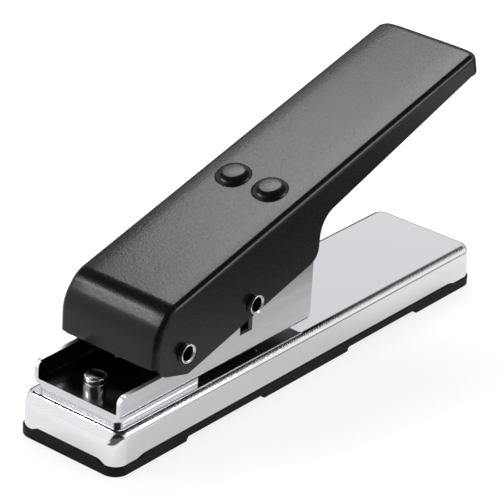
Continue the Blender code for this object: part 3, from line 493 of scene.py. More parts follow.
def grain(tree, scale, stretch=(1.0, 1.0, 1.0), detail=3.0):
    """Noise in the piece's own coordinates; scale is in cells a metre."""
    spread = node(tree, "ShaderNodeMapping", Scale=stretch)
    feed(spread, "Vector", node(tree, "ShaderNodeTexCoord").outputs["Object"])
    noise = node(tree, "ShaderNodeTexNoise", Scale=scale, Detail=detail)
    feed(noise, "Vector", spread.outputs["Vector"])
    return noise.outputs["Fac"]


def vary(tree, source, shader, low, high):
    """Lets a noise move the shader's roughness between two values."""
    feed(shader, "Roughness", remap(tree, source, *NOISE_SPAN, low, high))


def tint(tree, source, shader, dark, pale):
    """Lets a noise move the shader's colour between two shades."""
    share = remap(tree, source, *NOISE_SPAN)
    feed(shader, "Base Color", mix_colours(tree, share, (*dark, 1.0), (*pale, 1.0)))


def bend_mask(tree):
    """One on the tight bend beside a level top, and nothing on the top itself or on the wall."""
    upward = split(tree, node(tree, "ShaderNodeTexCoord").outputs["Normal"])["Z"]
    past_level = maths(tree, "SUBTRACT", 1.0, upward)
    before_slope = maths(tree, "SUBTRACT", upward, BEND_END)
    return remap(tree, maths(tree, "MULTIPLY", past_level, before_slope), *BEND_FADE)


def roughen(tree, source, shader, height, before=None):
    """Adds a bump of a real height in metres to the shader, on top of the bump before it."""
    bump = node(tree, "ShaderNodeBump", Strength=1.0, Distance=height)
    feed(bump, "Height", source)
    if before is not None:
        feed(bump, "Normal", before.outputs["Normal"])
    feed(shader, "Normal", bump.outputs["Normal"])
    return bump


def make_chrome():
    """Bright chrome over a drawn sheet, whose fine ripple breaks up the reflections on its bends."""
    material, tree, shader = surface("chrome_plate", (0.79, 0.80, 0.82), 0.06, metallic=1.0)
    vary(tree, grain(tree, 700.0), shader, 0.04, 0.09)
    wave = roughen(tree, grain(tree, 650.0, detail=2.0), shader, 0.000004)
    stretched = roughen(tree, grain(tree, 2000.0, detail=0.0), shader, 0.00007, wave)
    feed(stretched, "Strength", bend_mask(tree))
    return material


def make_satin_chrome():
    """Chrome over a rolled sheet, a little duller than the base."""
    material, tree, shader = surface("satin_chrome", (0.74, 0.75, 0.77), 0.12, metallic=1.0)
    tint(tree, grain(tree, 70.0, (1.0, 0.1, 6.0)), shader, (0.61, 0.62, 0.64), (0.72, 0.73, 0.75))
    vary(tree, grain(tree, 2600.0, (1.0, 0.06, 1.0)), shader, 0.08, 0.17)
    roughen(tree, grain(tree, 900.0, detail=2.0), shader, 0.000002)
    return material


def make_plated():
    """Plain plating on a ground plate, with a faint grain along it."""
    material, tree, shader = surface("plated_steel", (0.66, 0.67, 0.69), 0.13, metallic=1.0)
    vary(tree, grain(tree, 1500.0, (0.05, 0.05, 1.0)), shader, 0.11, 0.15)
    roughen(tree, grain(tree, 2400.0, (0.05, 0.05, 1.0)), shader, 0.0000004)
    return material


def make_paint():
    """Satin black powder coat with its fine orange peel."""
    material, tree, shader = surface("black_paint", (0.006, 0.006, 0.0065), 0.24, specular=0.28)
    vary(tree, grain(tree, 1800.0), shader, 0.21, 0.28)
    roughen(tree, grain(tree, 1300.0, detail=2.0), shader, 0.000030)
    return material


def make_plastic():
    """Soft matt black moulding."""
    material, tree, shader = surface("black_plastic", (0.006, 0.006, 0.0065), 0.50, specular=0.12)
    roughen(tree, grain(tree, 2500.0), shader, 0.00003)
    return material


def make_steel(name, colour, roughness):
    material, tree, shader = surface(name, colour, roughness, metallic=1.0)
    smoothest, roughest = STEEL_ROUGHNESS_SPAN
    vary(tree, grain(tree, 2200.0), shader, roughness * smoothest, roughness * roughest)
    return material


def rounded_path(corners, steps=ARC_STEPS):
    """Closed outline through corners of (across, up, radius), each turned by an arc of that radius."""
    points = []
    count = len(corners)
    for index, (across, up, radius) in enumerate(corners):
        here = Vector((across, up))
        before = Vector(corners[index - 1][:2])
        after = Vector(corners[(index + 1) % count][:2])
        if radius == 0:
            points.append(here)
            continue
        back = (before - here).normalized()
        ahead = (after - here).normalized()
        half = back.angle(ahead) / 2
        centre = here + (back + ahead).normalized() * (radius / math.sin(half))
        start = here + back * (radius / math.tan(half)) - centre
        turn = start.angle_signed(here + ahead * (radius / math.tan(half)) - centre)
        for step in range(steps + 1):
            points.append(centre + Matrix.Rotation(-turn * step / steps, 2) @ start)
    return points


def inset_corners(corners, inset):
    """Corners of an anticlockwise outline moved inwards by an equal distance on every side."""
    moved = []
    count = len(corners)
    for index, (across, up, radius) in enumerate(corners):
        here = Vector((across, up))
        arriving = (here - Vector(corners[index - 1][:2])).normalized()
        leaving = (Vector(corners[(index + 1) % count][:2]) - here).normalized()
        first = Vector((-arriving.y, arriving.x))
        second = Vector((-leaving.y, leaving.x))
        there = here + (first + second) * (inset / (1 + first.dot(second)))
        moved.append((there.x, there.y, max(radius - inset, 0)))
    return moved


def circle_points(centre_across, centre_up, radius, steps=ROUND_STEPS):
    angles = [2 * math.pi * step / steps for step in range(steps)]
    return [Vector((centre_across + radius * math.cos(a), centre_up + radius * math.sin(a))) for a in angles]


def box_corners(width, length, radius):
    """The corners of a rectangle round the origin."""
    right = width / 2
    rear = length / 2
    return [(-right, -rear, radius), (right, -rear, radius), (right, rear, radius), (-right, rear, radius)]


def new_piece(name, shape):
    mesh = bpy.data.meshes.new(name)
    bmesh.ops.recalc_face_normals(shape, faces=shape.faces)
    shape.to_mesh(mesh)
    shape.free()
    return new_object(name, mesh)


def loft(name, rows):
    """A closed solid through equal rows of points, capped at the first and the last."""
    shape = bmesh.new()
    rings = [[shape.verts.new(point) for point in row] for row in rows]
    for first, second in zip(rings, rings[1:]):
        count = len(first)
        for index in range(count):
            after = (index + 1) % count
            shape.faces.new((first[index], first[after], second[after], second[index]))
    shape.faces.new(rings[0][::-1])
    shape.faces.new(rings[-1])
    return new_piece(name, shape)


def level_plate(name, outline, low, high):
    """An outline seen from above, filled between two heights."""
    return loft(name, [[(p[0], p[1], height) for p in outline] for height in (low, high)])


def side_plate(name, outline, left, right):
    """An outline of (along, up) seen from the side, filled from one X to another."""
    return loft(name, [[(across, p[0], p[1]) for p in outline] for across in (left, right)])


def end_plate(name, outline, front, rear):
    """An outline of (across, up) seen from the tray end, filled from one Y to another."""
    return loft(name, [[(p[0], along, p[1]) for p in outline] for along in (front, rear)])


def turned(name, profile, closed=False):
    """A profile of (radius, height) turned round the upright axis; where the radius is 0 it has one point."""
    shape = bmesh.new()
    rings = []
    for radius, height in profile:
        points = circle_points(0, 0, radius) if radius else [Vector((0, 0))]
        rings.append([shape.verts.new((*point, height)) for point in points])
    pairs = list(zip(rings, rings[1:]))
    if closed:
        pairs.append((rings[-1], rings[0]))
    for first, second in pairs:
        for step in range(ROUND_STEPS):
            corners = [first[index % len(first)] for index in (step, step + 1)]
            corners += [second[index % len(second)] for index in (step + 1, step)]
            shape.faces.new(list(dict.fromkeys(corners)))
    return new_piece(name, shape)


def settle(piece):
    """Applies the piece's modifiers to its mesh."""
    shaped = piece.evaluated_get(bpy.context.evaluated_depsgraph_get())
    mesh = bpy.data.meshes.new_from_object(shaped)
    old = piece.data
    piece.modifiers.clear()
    piece.data = mesh
    bpy.data.meshes.remove(old)
    return piece


def carve(piece, cutter, operation="DIFFERENCE"):
    """Cuts, joins or intersects a piece with another shape, which is then removed."""
    boolean = piece.modifiers.new("carve", "BOOLEAN")
    boolean.operation = operation
    boolean.solver = "EXACT"
    boolean.object = cutter
    settle(piece)
    bpy.data.objects.remove(cutter, do_unlink=True)


def round_edges(piece, width, segments, angle):
    """Rounds every edge that turns by more than an angle in degrees."""
    bevel = piece.modifiers.new("rounded edges", "BEVEL")
    bevel.width = width
    bevel.segments = segments
    bevel.limit_method = "ANGLE"
    bevel.angle_limit = math.radians(angle)
    return settle(piece)


def weld(mesh, distance, slivers=False):
    """Welds the points of a mesh, and may drop the slivers that cuts in one plane leave behind."""
    whole = bmesh.new()
    whole.from_mesh(mesh)
    bmesh.ops.remove_doubles(whole, verts=whole.verts, dist=distance)
    if slivers:
        bmesh.ops.dissolve_degenerate(whole, edges=whole.edges, dist=distance)
    whole.to_mesh(mesh)
    whole.free()


def finish(piece, material, body, replaced, angle=32):
    """Shades a piece, gives it its material and hangs it on its body, if it is given one."""
    piece.data.materials.clear()
    piece.data.materials.append(material)
    piece.data.shade_smooth()
    piece.data.set_sharp_from_angle(angle=math.radians(angle))
    weighted = piece.modifiers.new("even shading", "WEIGHTED_NORMAL")
    weighted.keep_sharp = True
    weighted.weight = 100
    if body is not None:
        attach(piece, body)
    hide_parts(*replaced)


def skirt_notch(half_run, run_edge):
    """The shallow rise of the chrome's lower edge along the middle of a wall."""
    foot = half_run + SKIRT_RAMP
    fall = SHELL_CORNER_EDGE - run_edge
    return rounded_path([
        (-foot - SKIRT_RAMP, SHELL_CORNER_EDGE + fall, 0),
        (foot + SKIRT_RAMP, SHELL_CORNER_EDGE + fall, 0),
        (half_run, run_edge, SKIRT_ROUND),
        (-half_run, run_edge, SKIRT_ROUND),
    ], SKIRT_STEPS)


def pick_outline(grow):
    """The plectrum's outline from above, as the ram's solid has it, grown by a distance all round."""
    low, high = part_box("ram")
    middle = Vector((0, (low.y + high.y) / 2))
    seen = [vertex.co.xy - middle for vertex in NODES["ram"].data.vertices]
    rim = [seen[index] for index in convex_hull_2d(seen)]
    rim.sort(key=lambda point: math.atan2(point.y, point.x))
    return [middle + point + point.normalized() * grow for point in rim]


def shell_profile():
    """Rows of (side inset, end inset, height): sides with one round bend, ends with a soft shoulder."""
    lean = SHELL_SHOULDER_LEAN
    bend_start = BASE_TOP - SHELL_BEND * (1 - math.cos(lean))
    shoulder_start = bend_start - SHELL_SHOULDER * math.cos(lean)
    reach = SHELL_SHOULDER * (1 - math.sin(lean))
    side_start = BASE_TOP - SHELL_SIDE_BEND
    heights = [-BASE_TOP, shoulder_start]
    for step in range(1, SHOULDER_STEPS):
        heights.append(shoulder_start + (side_start - shoulder_start) * step / SHOULDER_STEPS)
    for step in range(BEND_STEPS + 1):
        heights.append(side_start + SHELL_SIDE_BEND * math.sin(math.pi / 2 * step / BEND_STEPS))
    rows = []
    for height in heights:
        up = max(height - side_start, 0)
        side = SHELL_SIDE_BEND - math.sqrt(max(SHELL_SIDE_BEND ** 2 - up ** 2, 0))
        if height <= bend_start:
            up = max(height - shoulder_start, 0)
            end = SHELL_SHOULDER - math.sqrt(SHELL_SHOULDER ** 2 - up ** 2)
        else:
            angle = math.acos(min(math.cos(lean) + (height - bend_start) / SHELL_BEND, 1))
            end = reach + SHELL_BEND * (math.sin(lean) - math.sin(angle))
        rows.append((side, end, height))
    return rows


def build_base_shell():
    """The chromed pressing of the base, with finer corners than the solid."""
    low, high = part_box("base_shell")
    width = high.x - low.x
    length = high.y - low.y
    corner = COVER_CORNER - SHELL_INSET
    rows = []
    for side, end, height in shell_profile():
        ring = box_corners(width - 2 * side, length - 2 * end, corner - (side + end) / 2)
        rows.append([(p[0], p[1], height) for p in rounded_path(ring, BASE_CORNER_STEPS)])
    shell = loft("chrome_base", rows)
    inner = box_corners(width - 2 * SHELL_SHEET, length - 2 * SHELL_SHEET, corner - SHELL_SHEET)
    hollow = level_plate("hollow", rounded_path(inner), -2 * BASE_TOP, BASE_TOP - SHELL_SHEET)
    carve(shell, round_edges(hollow, SHELL_INNER_ROUND, segments=5, angle=60))
    below = rounded_path(box_corners(2 * width, 2 * length, 0))
    carve(shell, level_plate("below", below, -3 * BASE_TOP, SHELL_CORNER_EDGE))
    side_notch = skirt_notch(length / 2 + SHELL_INSET - SKIRT_ALONG_SIDE, SHELL_SIDE_EDGE)
    carve(shell, side_plate("side_notch", side_notch, -width, width))
    end_notch = skirt_notch(width / 2 + SHELL_INSET - SKIRT_ALONG_END, SHELL_END_EDGE)
    carve(shell, end_plate("end_notch", end_notch, -length, length))
    carve(shell, level_plate("pick_hole", pick_outline(2 * GAP), 0, 2 * BASE_TOP))
    drill(shell, BASE_TOP / 2, 2 * BASE_TOP)
    finish(shell, chrome, "base", ["base_shell"])


def bracket_section(half, top):
    """The channel of bent sheet seen from its end, with straight walls up to a height."""
    floor_top = FLOOR_UNDERSIDE + BRACKET_SHEET
    inner = half - BRACKET_SHEET
    inner_bend = BRACKET_BEND - BRACKET_SHEET
    return [
        (-half, FLOOR_UNDERSIDE, BRACKET_BEND),
        (half, FLOOR_UNDERSIDE, BRACKET_BEND),
        (half, top, 0),
        (inner, top, 0),
        (inner, floor_top, inner_bend),
        (-inner, floor_top, inner_bend),
        (-inner, top, 0),
        (-half, top, 0),
    ]


def bracket_side_outline(front, rear, top):
    """The walls seen from the side: low round the tray, then stepped up to carry the pins."""
    below = FLOOR_UNDERSIDE - BRACKET_BEND
    tray_top = FLOOR_UNDERSIDE + BRACKET_SHEET + TRAY_WALL_HEIGHT
    step = FRONT_END + WALL_STEP_SETBACK
    rear_low = rear - WALL_REAR_ROUND / 3
    return [
        (front, below, 0),
        (rear_low, below, 0),
        (rear_low, FLOOR_UNDERSIDE, WALL_REAR_ROUND / 6),
        (rear, FLOOR_UNDERSIDE + WALL_REAR_ROUND, WALL_REAR_ROUND),
        (rear, top, WALL_REAR_TOP_ROUND),
        (step, top, WALL_STEP_ROUND),
        (step, tray_top, WALL_STEP_FOOT),
        (front, tray_top, TRAY_WALL_CORNER),
    ]


def drill(piece, low, high):
    """Opens one layer of the stack for the shanks of the post and the rivets."""
    for name in ("front_post", "rivet_right", "rivet_left"):
        near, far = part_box(name)
        across = (near.x + far.x) / 2
        along = (near.y + far.y) / 2
        hole = circle_points(across, along, SHANK_RADIUS + GAP, DRILL_STEPS)
        carve(piece, level_plate("shank_hole", hole, low, high))


def build_bracket():
    """The chromed channel with its edges broken all round."""
    low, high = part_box("bracket")
    half = high.x
    section = rounded_path(bracket_section(half, high.z + BRACKET_SHEET))
    bracket = end_plate("chrome_bracket", section, low.y - GAP, high.y + GAP)
    side = rounded_path(bracket_side_outline(low.y, high.y, high.z))
    carve(bracket, side_plate("side", side, -2 * half, 2 * half), "INTERSECT")
    floor_high = FLOOR_UNDERSIDE + 2 * BRACKET_SHEET
    carve(bracket, level_plate("pick_hole", pick_outline(GAP), 0, floor_high))
    pivot = circle_points(PIVOT.y, PIVOT.z, HOLE_RADIUS)
    carve(bracket, side_plate("pivot_hole", pivot, -2 * half, 2 * half))
    slot_low = RAM_PIN.z - RAM_TRAVEL - HOLE_RADIUS
    slot_high = RAM_PIN.z + HOLE_RADIUS
    slot = rounded_path([
        (RAM_PIN.y - HOLE_RADIUS, slot_low, 0),
        (RAM_PIN.y + HOLE_RADIUS, slot_low, 0),
        (RAM_PIN.y + HOLE_RADIUS, slot_high, HOLE_RADIUS / 2),
        (RAM_PIN.y - HOLE_RADIUS, slot_high, HOLE_RADIUS / 2),
    ])
    carve(bracket, side_plate("slot", slot, -2 * half, 2 * half))
    drill(bracket, FLOOR_UNDERSIDE - BRACKET_SHEET, floor_high)
    round_edges(bracket, SHEET_EDGE, segments=3, angle=50)
    finish(bracket, satin_chrome, "base", ["bracket"])
    paint_bracket(bracket, half, floor_high)


def paint_bracket(bracket, half, floor_high):
    """Painted shade and highlight by face: a dark grey under the channel, cut edges on its walls paler than
    steel, and darker chrome inside it.
    """
    cut_and_highlit, shade_under, shade_inside = 1, 2, 3
    for material in (cut_edge_and_highlight, painted_shade_steel, shaded_chrome):
        bracket.data.materials.append(material)
    for face in bracket.data.polygons:
        across = abs(face.center.x)
        inward = across < half - BRACKET_SHEET / 2 and face.normal.x * face.center.x < 0
        in_wall = across > half - BRACKET_SHEET and face.center.z > floor_high
        if face.normal.z < -LEVEL_FACING and face.center.z < FLOOR_UNDERSIDE + GAP:
            # Painted shade: the channel's underside is given a dark grey.
            face.material_index = shade_under
        elif in_wall and abs(face.normal.x) < SIDE_FACING:
            # Painted highlight: the walls' cut edges are given a steel paler than bare steel.
            face.material_index = cut_and_highlit
        elif inward or face.normal.z > LEVEL_FACING:
            # Painted shade: the tray's inner faces and upward faces are given darker chrome.
            face.material_index = shade_inside


def build_spacer():
    """The plated plate between base and channel."""
    low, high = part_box("front_spacer")
    half = high.x
    outline = rounded_path([
        (-half, low.y, SPACER_CORNER),
        (half, low.y, SPACER_CORNER),
        (half, high.y, SPACER_REAR_CORNER),
        (-half, high.y, SPACER_REAR_CORNER),
    ])
    spacer = level_plate("card_spacer", outline, BASE_TOP, FLOOR_UNDERSIDE)
    drill(spacer, BASE_TOP - BRACKET_SHEET, FLOOR_UNDERSIDE + BRACKET_SHEET)
    round_edges(spacer, SHEET_EDGE, segments=3, angle=50)
    finish(spacer, plated, "base", ["front_spacer"])


def skirt_ledge(half_run, run_edge, reach):
    """What lies above the cover's lip: level along a wall, lower towards the corners."""
    low = SHELL_CORNER_EDGE - LIP_GAP
    high = run_edge - LIP_GAP
    foot = half_run + SKIRT_RAMP
    return rounded_path([
        (-reach, low, 0),
        (-foot, low, SKIRT_ROUND),
        (-half_run, high, SKIRT_ROUND),
        (half_run, high, SKIRT_ROUND),
        (foot, low, SKIRT_ROUND),
        (reach, low, 0),
        (reach, BASE_TOP, 0),
        (-reach, BASE_TOP, 0),
    ], SKIRT_STEPS)


def build_cover():
    """The soft black tray with its moulded feet, finer than the solid it replaces."""
    low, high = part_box("bottom_cover")
    width = high.x - low.x
    length = high.y - low.y
    outline = rounded_path(box_corners(width, length, COVER_CORNER), BASE_CORNER_STEPS)
    cover = level_plate("black_cover", outline, 0, SHELL_END_EDGE - LIP_GAP)
    round_edges(cover, COVER_EDGE, segments=3, angle=60)
    inner = width / 2 - COVER_CORNER
    side_ledge = skirt_ledge(length / 2 - SKIRT_ALONG_SIDE, SHELL_SIDE_EDGE, length)
    for side in (1, -1):
        near, far = sorted((side * inner, side * width))
        carve(cover, side_plate("side_ledge", side_ledge, near, far))
    end_ledge = skirt_ledge(width / 2 - SKIRT_ALONG_END, SHELL_END_EDGE, inner)
    carve(cover, end_plate("end_ledge", end_ledge, -length, length))
    wall_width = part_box("base_shell")[1].x * 2 - 2 * (SHELL_SHEET + GAP)
    wall_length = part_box("base_shell")[1].y * 2 - 2 * (SHELL_SHEET + GAP)
    wall_corner = COVER_CORNER - SHELL_INSET - SHELL_SHEET - GAP
    upstand = rounded_path(box_corners(wall_width, wall_length, wall_corner))
    carve(cover, level_plate("upstand", upstand, FOOT_HEIGHT + GAP, high.z), "UNION")
    hollow = box_corners(wall_width - 2 * COVER_WALL, wall_length - 2 * COVER_WALL, wall_corner - COVER_WALL)
    carve(cover, level_plate("hollow", rounded_path(hollow), FOOT_HEIGHT + COVER_FLOOR, BASE_TOP))
    middle_start = -MIDDLE_FOOT_LENGTH / 2
    for start, end in (
        (-length / 2 + FRONT_FOOT_LENGTH, middle_start),
        (-middle_start, length / 2 - REAR_FOOT_LENGTH),
    ):
        arch = rounded_path([
            (start - FOOT_ROUND, -FOOT_HEIGHT, 0),
            (end + FOOT_ROUND, -FOOT_HEIGHT, 0),
            (end - FOOT_ROUND, FOOT_HEIGHT, FOOT_ROUND),
            (start + FOOT_ROUND, FOOT_HEIGHT, FOOT_ROUND),
        ], FOOT_STEPS)
        carve(cover, side_plate("arch", arch, -width, width))
    weld(cover.data, SLIVER_WELD, slivers=True)
    finish(cover, plastic, "base", ["bottom_cover"])


def arc_profile(centre_radius, centre_height, radius, start, end, steps):
    """Points of (radius, height) along an arc, with its angles in degrees from the outward level."""
    points = []
    for step in range(steps + 1):
        angle = math.radians(start + (end - start) * step / steps)
        points.append((centre_radius + radius * math.cos(angle), centre_height + radius * math.sin(angle)))
    return points


def build_pin(name, node_name, body, middle):
    """A hollow pin whose ends are rolled outwards into a rounded rim."""
    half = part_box(node_name)[1].x
    mouth = PIN_RIM_RADIUS - 2 * PIN_LIP
    flare = mouth - PIN_BORE
    upper = arc_profile(mouth, half - PIN_LIP - flare, flare, *PIN_FLARE_ARC)
    upper += arc_profile(mouth + PIN_LIP, half - PIN_LIP, PIN_LIP, *PIN_LIP_ARC)
    shoulder = half - PIN_RIM_LENGTH
    upper += [(PIN_RIM_RADIUS - PIN_LIP / 4, shoulder), (PIN_RADIUS, shoulder)]
    lower = [(radius, -height) for radius, height in upper[::-1]]
    pin = turned(name, upper + lower, closed=True)
    pin.data.transform(Matrix.Translation(middle) @ Matrix.Rotation(math.radians(90), 4, "Y"))
    finish(pin, pin_steel, body, [node_name], angle=50)


def build_stud(name, node_name, radius, rounding, groove=0.0):
    """A round-headed stud that stands on the tray floor; a groove may mark where its head ends."""
    low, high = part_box(node_name)
    middle = (low + high) / 2
    floor_top = FLOOR_UNDERSIDE + BRACKET_SHEET
    top = high.z
    flat = radius - rounding
    profile = [
        (flat * step / CROWN_STEPS, top - STUD_CROWN * (step / CROWN_STEPS) ** 2)
        for step in range(CROWN_STEPS)
    ]
    profile += arc_profile(flat, top - STUD_CROWN - rounding, rounding, *STUD_SHOULDER_ARC)
    if groove:
        middle_height = (top + floor_top) / 2
        profile += arc_profile(radius + groove / 3, middle_height, groove, *POST_GROOVE_ARC)
    profile += [(radius, floor_top), (SHANK_RADIUS, floor_top), (SHANK_RADIUS, low.z), (0, low.z)]
    stud = turned(name, profile)
    stud.data.transform(Matrix.Translation((middle.x, middle.y, 0)))
    finish(stud, pin_steel, "base", [node_name], angle=50)


def spring_points(length):
    """Centre line of a coil: one close turn at each end and open turns between."""
    open_turns = SPRING_TURNS - 2
    open_pitch = (length - 2 * SPRING_END_PITCH) / open_turns
    points = []
    for step in range(SPRING_TURNS * SPRING_POINTS_A_TURN + 1):
        turn = step / SPRING_POINTS_A_TURN
        angle = 2 * math.pi * turn
        height = SPRING_END_PITCH * min(turn, 1)
        height += open_pitch * min(max(turn - 1, 0), open_turns)
        height += SPRING_END_PITCH * max(turn - 1 - open_turns, 0)
        points.append(Vector((SPRING_RADIUS * math.cos(angle), SPRING_RADIUS * math.sin(angle), height)))
    return points


def build_spring(word, side):
    """A return spring between the bracket floor and the dome, leaning from one to the other."""
    node_name = "return_spring_" + word
    low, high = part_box(node_name)
    foot = Vector(((low.x + high.x) / 2, high.y - SPRING_RADIUS - SPRING_WIRE, low.z + SPRING_WIRE))
    top = Vector((foot.x, foot.y - SPRING_LEAN, high.z - SPRING_WIRE))
    lean = math.atan2(SPRING_LEAN, top.z - foot.z)
    rise = (top - foot).length - 2 * SPRING_RADIUS * math.sin(lean)
    curve = bpy.data.curves.new(node_name + "_path", "CURVE")
    curve.dimensions = "3D"
    curve.bevel_depth = SPRING_WIRE
    curve.bevel_resolution = WIRE_STEPS
    curve.use_fill_caps = True
    points = spring_points(rise)
    spline = curve.splines.new("POLY")
    spline.points.add(len(points) - 1)
    for target, point in zip(spline.points, points):
        target.co = (side * point.x, point.y, point.z, 1)
    path = new_object(node_name + "_path", curve)
    dip = SPRING_RADIUS * math.sin(lean)
    path.matrix_world = Matrix.Translation(foot + Vector((0, 0, dip))) @ Matrix.Rotation(lean, 4, "X")
    bpy.context.view_layer.update()
    shaped = path.evaluated_get(bpy.context.evaluated_depsgraph_get())
    mesh = bpy.data.meshes.new_from_object(shaped)
    mesh.transform(path.matrix_world)
    bpy.data.objects.remove(path, do_unlink=True)
    coil = new_object("coil_" + word, mesh)
    weld(mesh, SEAM_WELD)
    finish(coil, spring_steel, None, [node_name], angle=60)
    coil.modifiers.clear()
    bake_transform(coil)


def handle_side_corners():
    """The top, the end and the curved nose of the handle seen from the side."""
    deep = -2 * HANDLE_TOP
    slant = (NOSE_BULGE - NOSE_FOOT) / (NOSE_BULGE_RISE - NOSE_FOOT_RISE)
    return [
        (NOSE_FOOT + (deep - NOSE_FOOT_RISE) * slant, deep, 0),
        (HANDLE_REAR, deep, 0),
        (HANDLE_REAR, HANDLE_TOP, 0),
        (NOSE_CREST, HANDLE_TOP, NOSE_CREST_ROUND),
        (NOSE_BULGE, NOSE_BULGE_RISE, NOSE_BULGE_ROUND),
    ]


def weigh_edges(block, half, rear, top, corner, end_fillet, side_fillet):
    """Marks how far each edge of the handle's block is to be rounded, as a share of its corners."""
    shape = bmesh.new()
    shape.from_mesh(block.data)
    weight = shape.edges.layers.float.new("bevel_weight_edge")
    for edge in shape.edges:
        first, second = (vertex.co for vertex in edge.verts)
        at_rear = min(first.y, second.y) > rear - 2 * HANDLE_CROWN
        along_side = abs(first.x - second.x) < GAP and min(abs(first.x), abs(second.x)) > half - GAP
        above_base = max(first.z, second.z) > -HANDLE_TOP
        if along_side and at_rear:
            edge[weight] = 1
        elif along_side and above_base:
            edge[weight] = side_fillet / corner
        elif at_rear and min(first.z, second.z) > top - 2 * HANDLE_CROWN:
            edge[weight] = end_fillet / corner
    shape.to_mesh(block.data)
    shape.free()


def handle_block(name, inset, crown):
    """The drawn form of the handle as a solid, its outer side falling off a little to each cheek."""
    half = HANDLE_WIDTH / 2 - inset
    shares = [-share for share in CROWN_STATION_SHARES[:0:-1]] + list(CROWN_STATION_SHARES)
    rows = []
    for share in shares:
        fall = crown * abs(share) ** CROWN_POWER
        profile = rounded_path(inset_corners(handle_side_corners(), inset + fall), NOSE_STEPS)
        rows.append([(share * half, p[0], p[1]) for p in profile])
    block = loft(name, rows)
    corner = HANDLE_END_CORNER - inset
    weigh_edges(
        block, half, HANDLE_REAR - inset - crown, HANDLE_TOP - inset - crown,
        corner, HANDLE_END_FILLET - inset, HANDLE_FILLET - inset,
    )
    bevel = block.modifiers.new("rounded edges", "BEVEL")
    bevel.width = corner
    bevel.segments = HANDLE_EDGE_STEPS
    bevel.limit_method = "WEIGHT"
    return settle(block)


def handle_trim_outline():
    """The space under the handle: below the rear lip, the neck, the deep cheeks and the nose."""
    below = -4 * HANDLE_TOP
    before = NOSE_FOOT - HANDLE_TOP
    past = HANDLE_REAR + HANDLE_TOP
    lip_slope = (LIP_RISE_AT_END - LIP_RISE_AT_NECK) / (HANDLE_REAR - NECK)
    lip_step = HANDLE_REAR - LIP_END_LENGTH
    rise_at_step = LIP_RISE_AT_END - LIP_END_LENGTH * lip_slope
    rise_at_end = rise_at_step - LIP_END_DROP
    return [
        (before, below, 0),
        (past, below, 0),
        (past, rise_at_end, 0),
        (lip_step + LIP_END_LENGTH / 4, rise_at_end, LIP_END_DROP),
        (lip_step, rise_at_step, LIP_END_DROP),
        (NECK, LIP_RISE_AT_NECK, NECK_ROUND),
        (CHEEK_REAR, -CHEEK_REAR_DROP, CHEEK_REAR_ROUND),
        (CHEEK_LOW_FRONT, -CHEEK_DROP, CHEEK_FRONT_ROUND),
        (CHEEK_FRONT, -CHEEK_FRONT_DROP, CHEEK_FRONT_ROUND),
        (NOSE_FOOT + HANDLE_SHEET, NOSE_FOOT_RISE, HANDLE_SHEET / 3),
        (before, NOSE_FOOT_RISE, 0),
    ]


def dome_profile():
    """A pressed-out seat: a faintly crowned top, a rounded flank and a soft foot."""
    top = HANDLE_TOP + DOME_HEIGHT
    root = HANDLE_TOP - HANDLE_SHEET / 2
    profile = []
    for step in range(DOME_STEPS + 1):
        radius = DOME_FLAT * step / DOME_STEPS
        profile.append((radius, top - DOME_CROWN * (radius / DOME_FLAT) ** 2))
    shoulder = top - DOME_CROWN
    foot = HANDLE_TOP + DOME_FOOT_ROUND / 2
    turn = math.radians(DOME_FLANK_TURN)
    start = turn * DOME_FLANK_START
    for step in range(1, DOME_STEPS + 1):
        angle = turn * (DOME_FLANK_START + (1 - DOME_FLANK_START) * step / DOME_STEPS)
        along = (math.sin(angle) - math.sin(start)) / (math.sin(turn) - math.sin(start))
        down = (math.cos(start) - math.cos(angle)) / (math.cos(start) - math.cos(turn))
        radius = DOME_FLAT + (DOME_RADIUS - DOME_FOOT_ROUND - DOME_FLAT) * along
        profile.append((radius, shoulder - (shoulder - foot) * down))
    profile += arc_profile(DOME_RADIUS, HANDLE_TOP + DOME_FOOT_ROUND, DOME_FOOT_ROUND, *DOME_FOOT_ARC)
    profile += [(DOME_RADIUS, root), (0, root)]
    return profile


def cup_profile():
    """The hollow under a dome, which leaves a wall as thick as the sheet."""
    top = HANDLE_TOP + DOME_HEIGHT - HANDLE_SHEET
    under = HANDLE_TOP - HANDLE_SHEET
    mouth = DOME_RADIUS - HANDLE_SHEET + GAP
    return [
        (0, top),
        (DOME_FLAT - GAP, top),
        (DOME_FLAT + GAP, top - CUP_SHOULDER_DROP),
        (mouth, under),
        (mouth, under - HANDLE_SHEET),
        (0, under - HANDLE_SHEET),
    ]


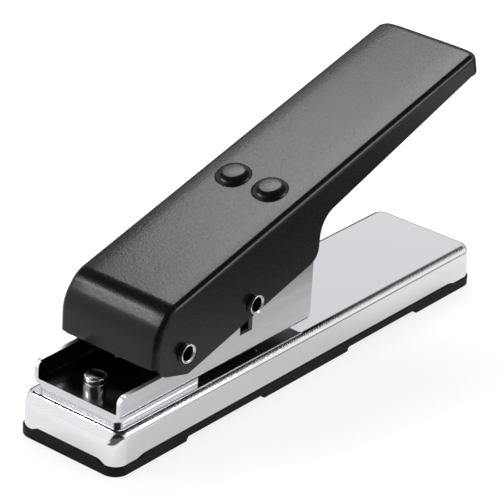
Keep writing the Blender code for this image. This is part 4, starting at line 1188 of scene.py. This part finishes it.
def build_handle():
    """The painted handle: a drawn shell with two raised spring seats on its top."""
    handle = handle_block("painted_handle", 0, HANDLE_CROWN)
    carve(handle, handle_block("hollow", HANDLE_SHEET, 0))
    seat_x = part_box("return_spring_right")
    across = (seat_x[0].x + seat_x[1].x) / 2 + DOME_SPREAD
    for side in (1, -1):
        place = Matrix.Translation((side * across, DOME_ALONG, 0))
        for name, profile, operation in (
            ("dome", dome_profile(), "UNION"),
            ("cup", cup_profile(), "DIFFERENCE"),
        ):
            seat = turned(name, profile)
            seat.data.transform(place)
            carve(handle, seat, operation)
    carve(handle, side_plate("pivot_hole", circle_points(0, 0, HOLE_RADIUS), -HANDLE_WIDTH, HANDLE_WIDTH))
    arm = Matrix.Rotation(-HANDLE_TILT, 2) @ Vector((RAM_PIN.y - PIVOT.y, RAM_PIN.z - PIVOT.z))
    hole = circle_points(arm.x, arm.y, HOLE_RADIUS + GAP / 2)
    carve(handle, side_plate("pin_hole", hole, -HANDLE_WIDTH, HANDLE_WIDTH))
    trim = rounded_path(handle_trim_outline())
    carve(handle, side_plate("trim", trim, -HANDLE_WIDTH, HANDLE_WIDTH))
    handle.data.transform(Matrix.Translation(PIVOT) @ Matrix.Rotation(HANDLE_TILT, 4, "X"))
    finish(handle, paint, "handle", ["handle"], angle=40)


chrome = make_chrome()
satin_chrome = make_satin_chrome()
plated = make_plated()
paint = make_paint()
plastic = make_plastic()
bright_steel = make_steel("bright_steel", (0.70, 0.70, 0.71), 0.18)
pin_steel = make_steel("pin_steel", (0.72, 0.72, 0.73), 0.14)
# Cut edges of the bracket: a real bare edge, made paler than steel as a painted highlight.
cut_edge_and_highlight = make_steel("cut_edge_and_highlight", (0.95, 0.95, 0.96), 0.40)
# Darker chrome for inside the bracket's tray: painted shade.
shaded_chrome = make_steel("shaded_chrome", (0.30, 0.30, 0.31), 0.16)
# A dark grey for the bracket's underside and the pivot sleeve: painted shade, not a bare steel finish.
painted_shade_steel = make_steel("painted_shade_steel", (0.16, 0.16, 0.17), 0.45)
tool_steel = make_steel("tool_steel", (0.42, 0.42, 0.43), 0.35)
spring_steel = make_steel("spring_steel", (0.50, 0.50, 0.52), 0.28)

FINISHES = {
    "base_shell": chrome,
    "bracket": satin_chrome,
    "front_spacer": plated,
    # The pivot sleeve gets the dark grey of painted shade.
    "pivot_sleeve": painted_shade_steel,
    "ram_collar_left": plated,
    "ram_collar_right": plated,
    "handle": paint,
    "bottom_cover": plastic,
    "die_plate": tool_steel,
    "ram": tool_steel,
    "return_spring_left": spring_steel,
    "return_spring_right": spring_steel,
}
for name, solid in NODES.items():
    solid.data.materials.clear()
    solid.data.materials.append(FINISHES.get(name, bright_steel))

build_base_shell()
build_cover()
build_spacer()
build_bracket()
build_pin("rolled_pivot_pin", "pivot_pin", "base", PIVOT)
build_pin("rolled_ram_pin", "ram_pin", "ram", RAM_PIN)
build_stud("tray_post", "front_post", POST_RADIUS, POST_ROUND, POST_GROOVE)
for word, side in (("right", 1), ("left", -1)):
    build_stud("tray_rivet_" + word, "rivet_" + word, RIVET_RADIUS, RIVET_ROUND)
    build_spring(word, side)
build_handle()

add_camera()
add_world()
add_floor()
for softbox in SOFTBOXES:
    add_softbox(*softbox)

bpy.context.scene.view_settings.view_transform = "Standard"
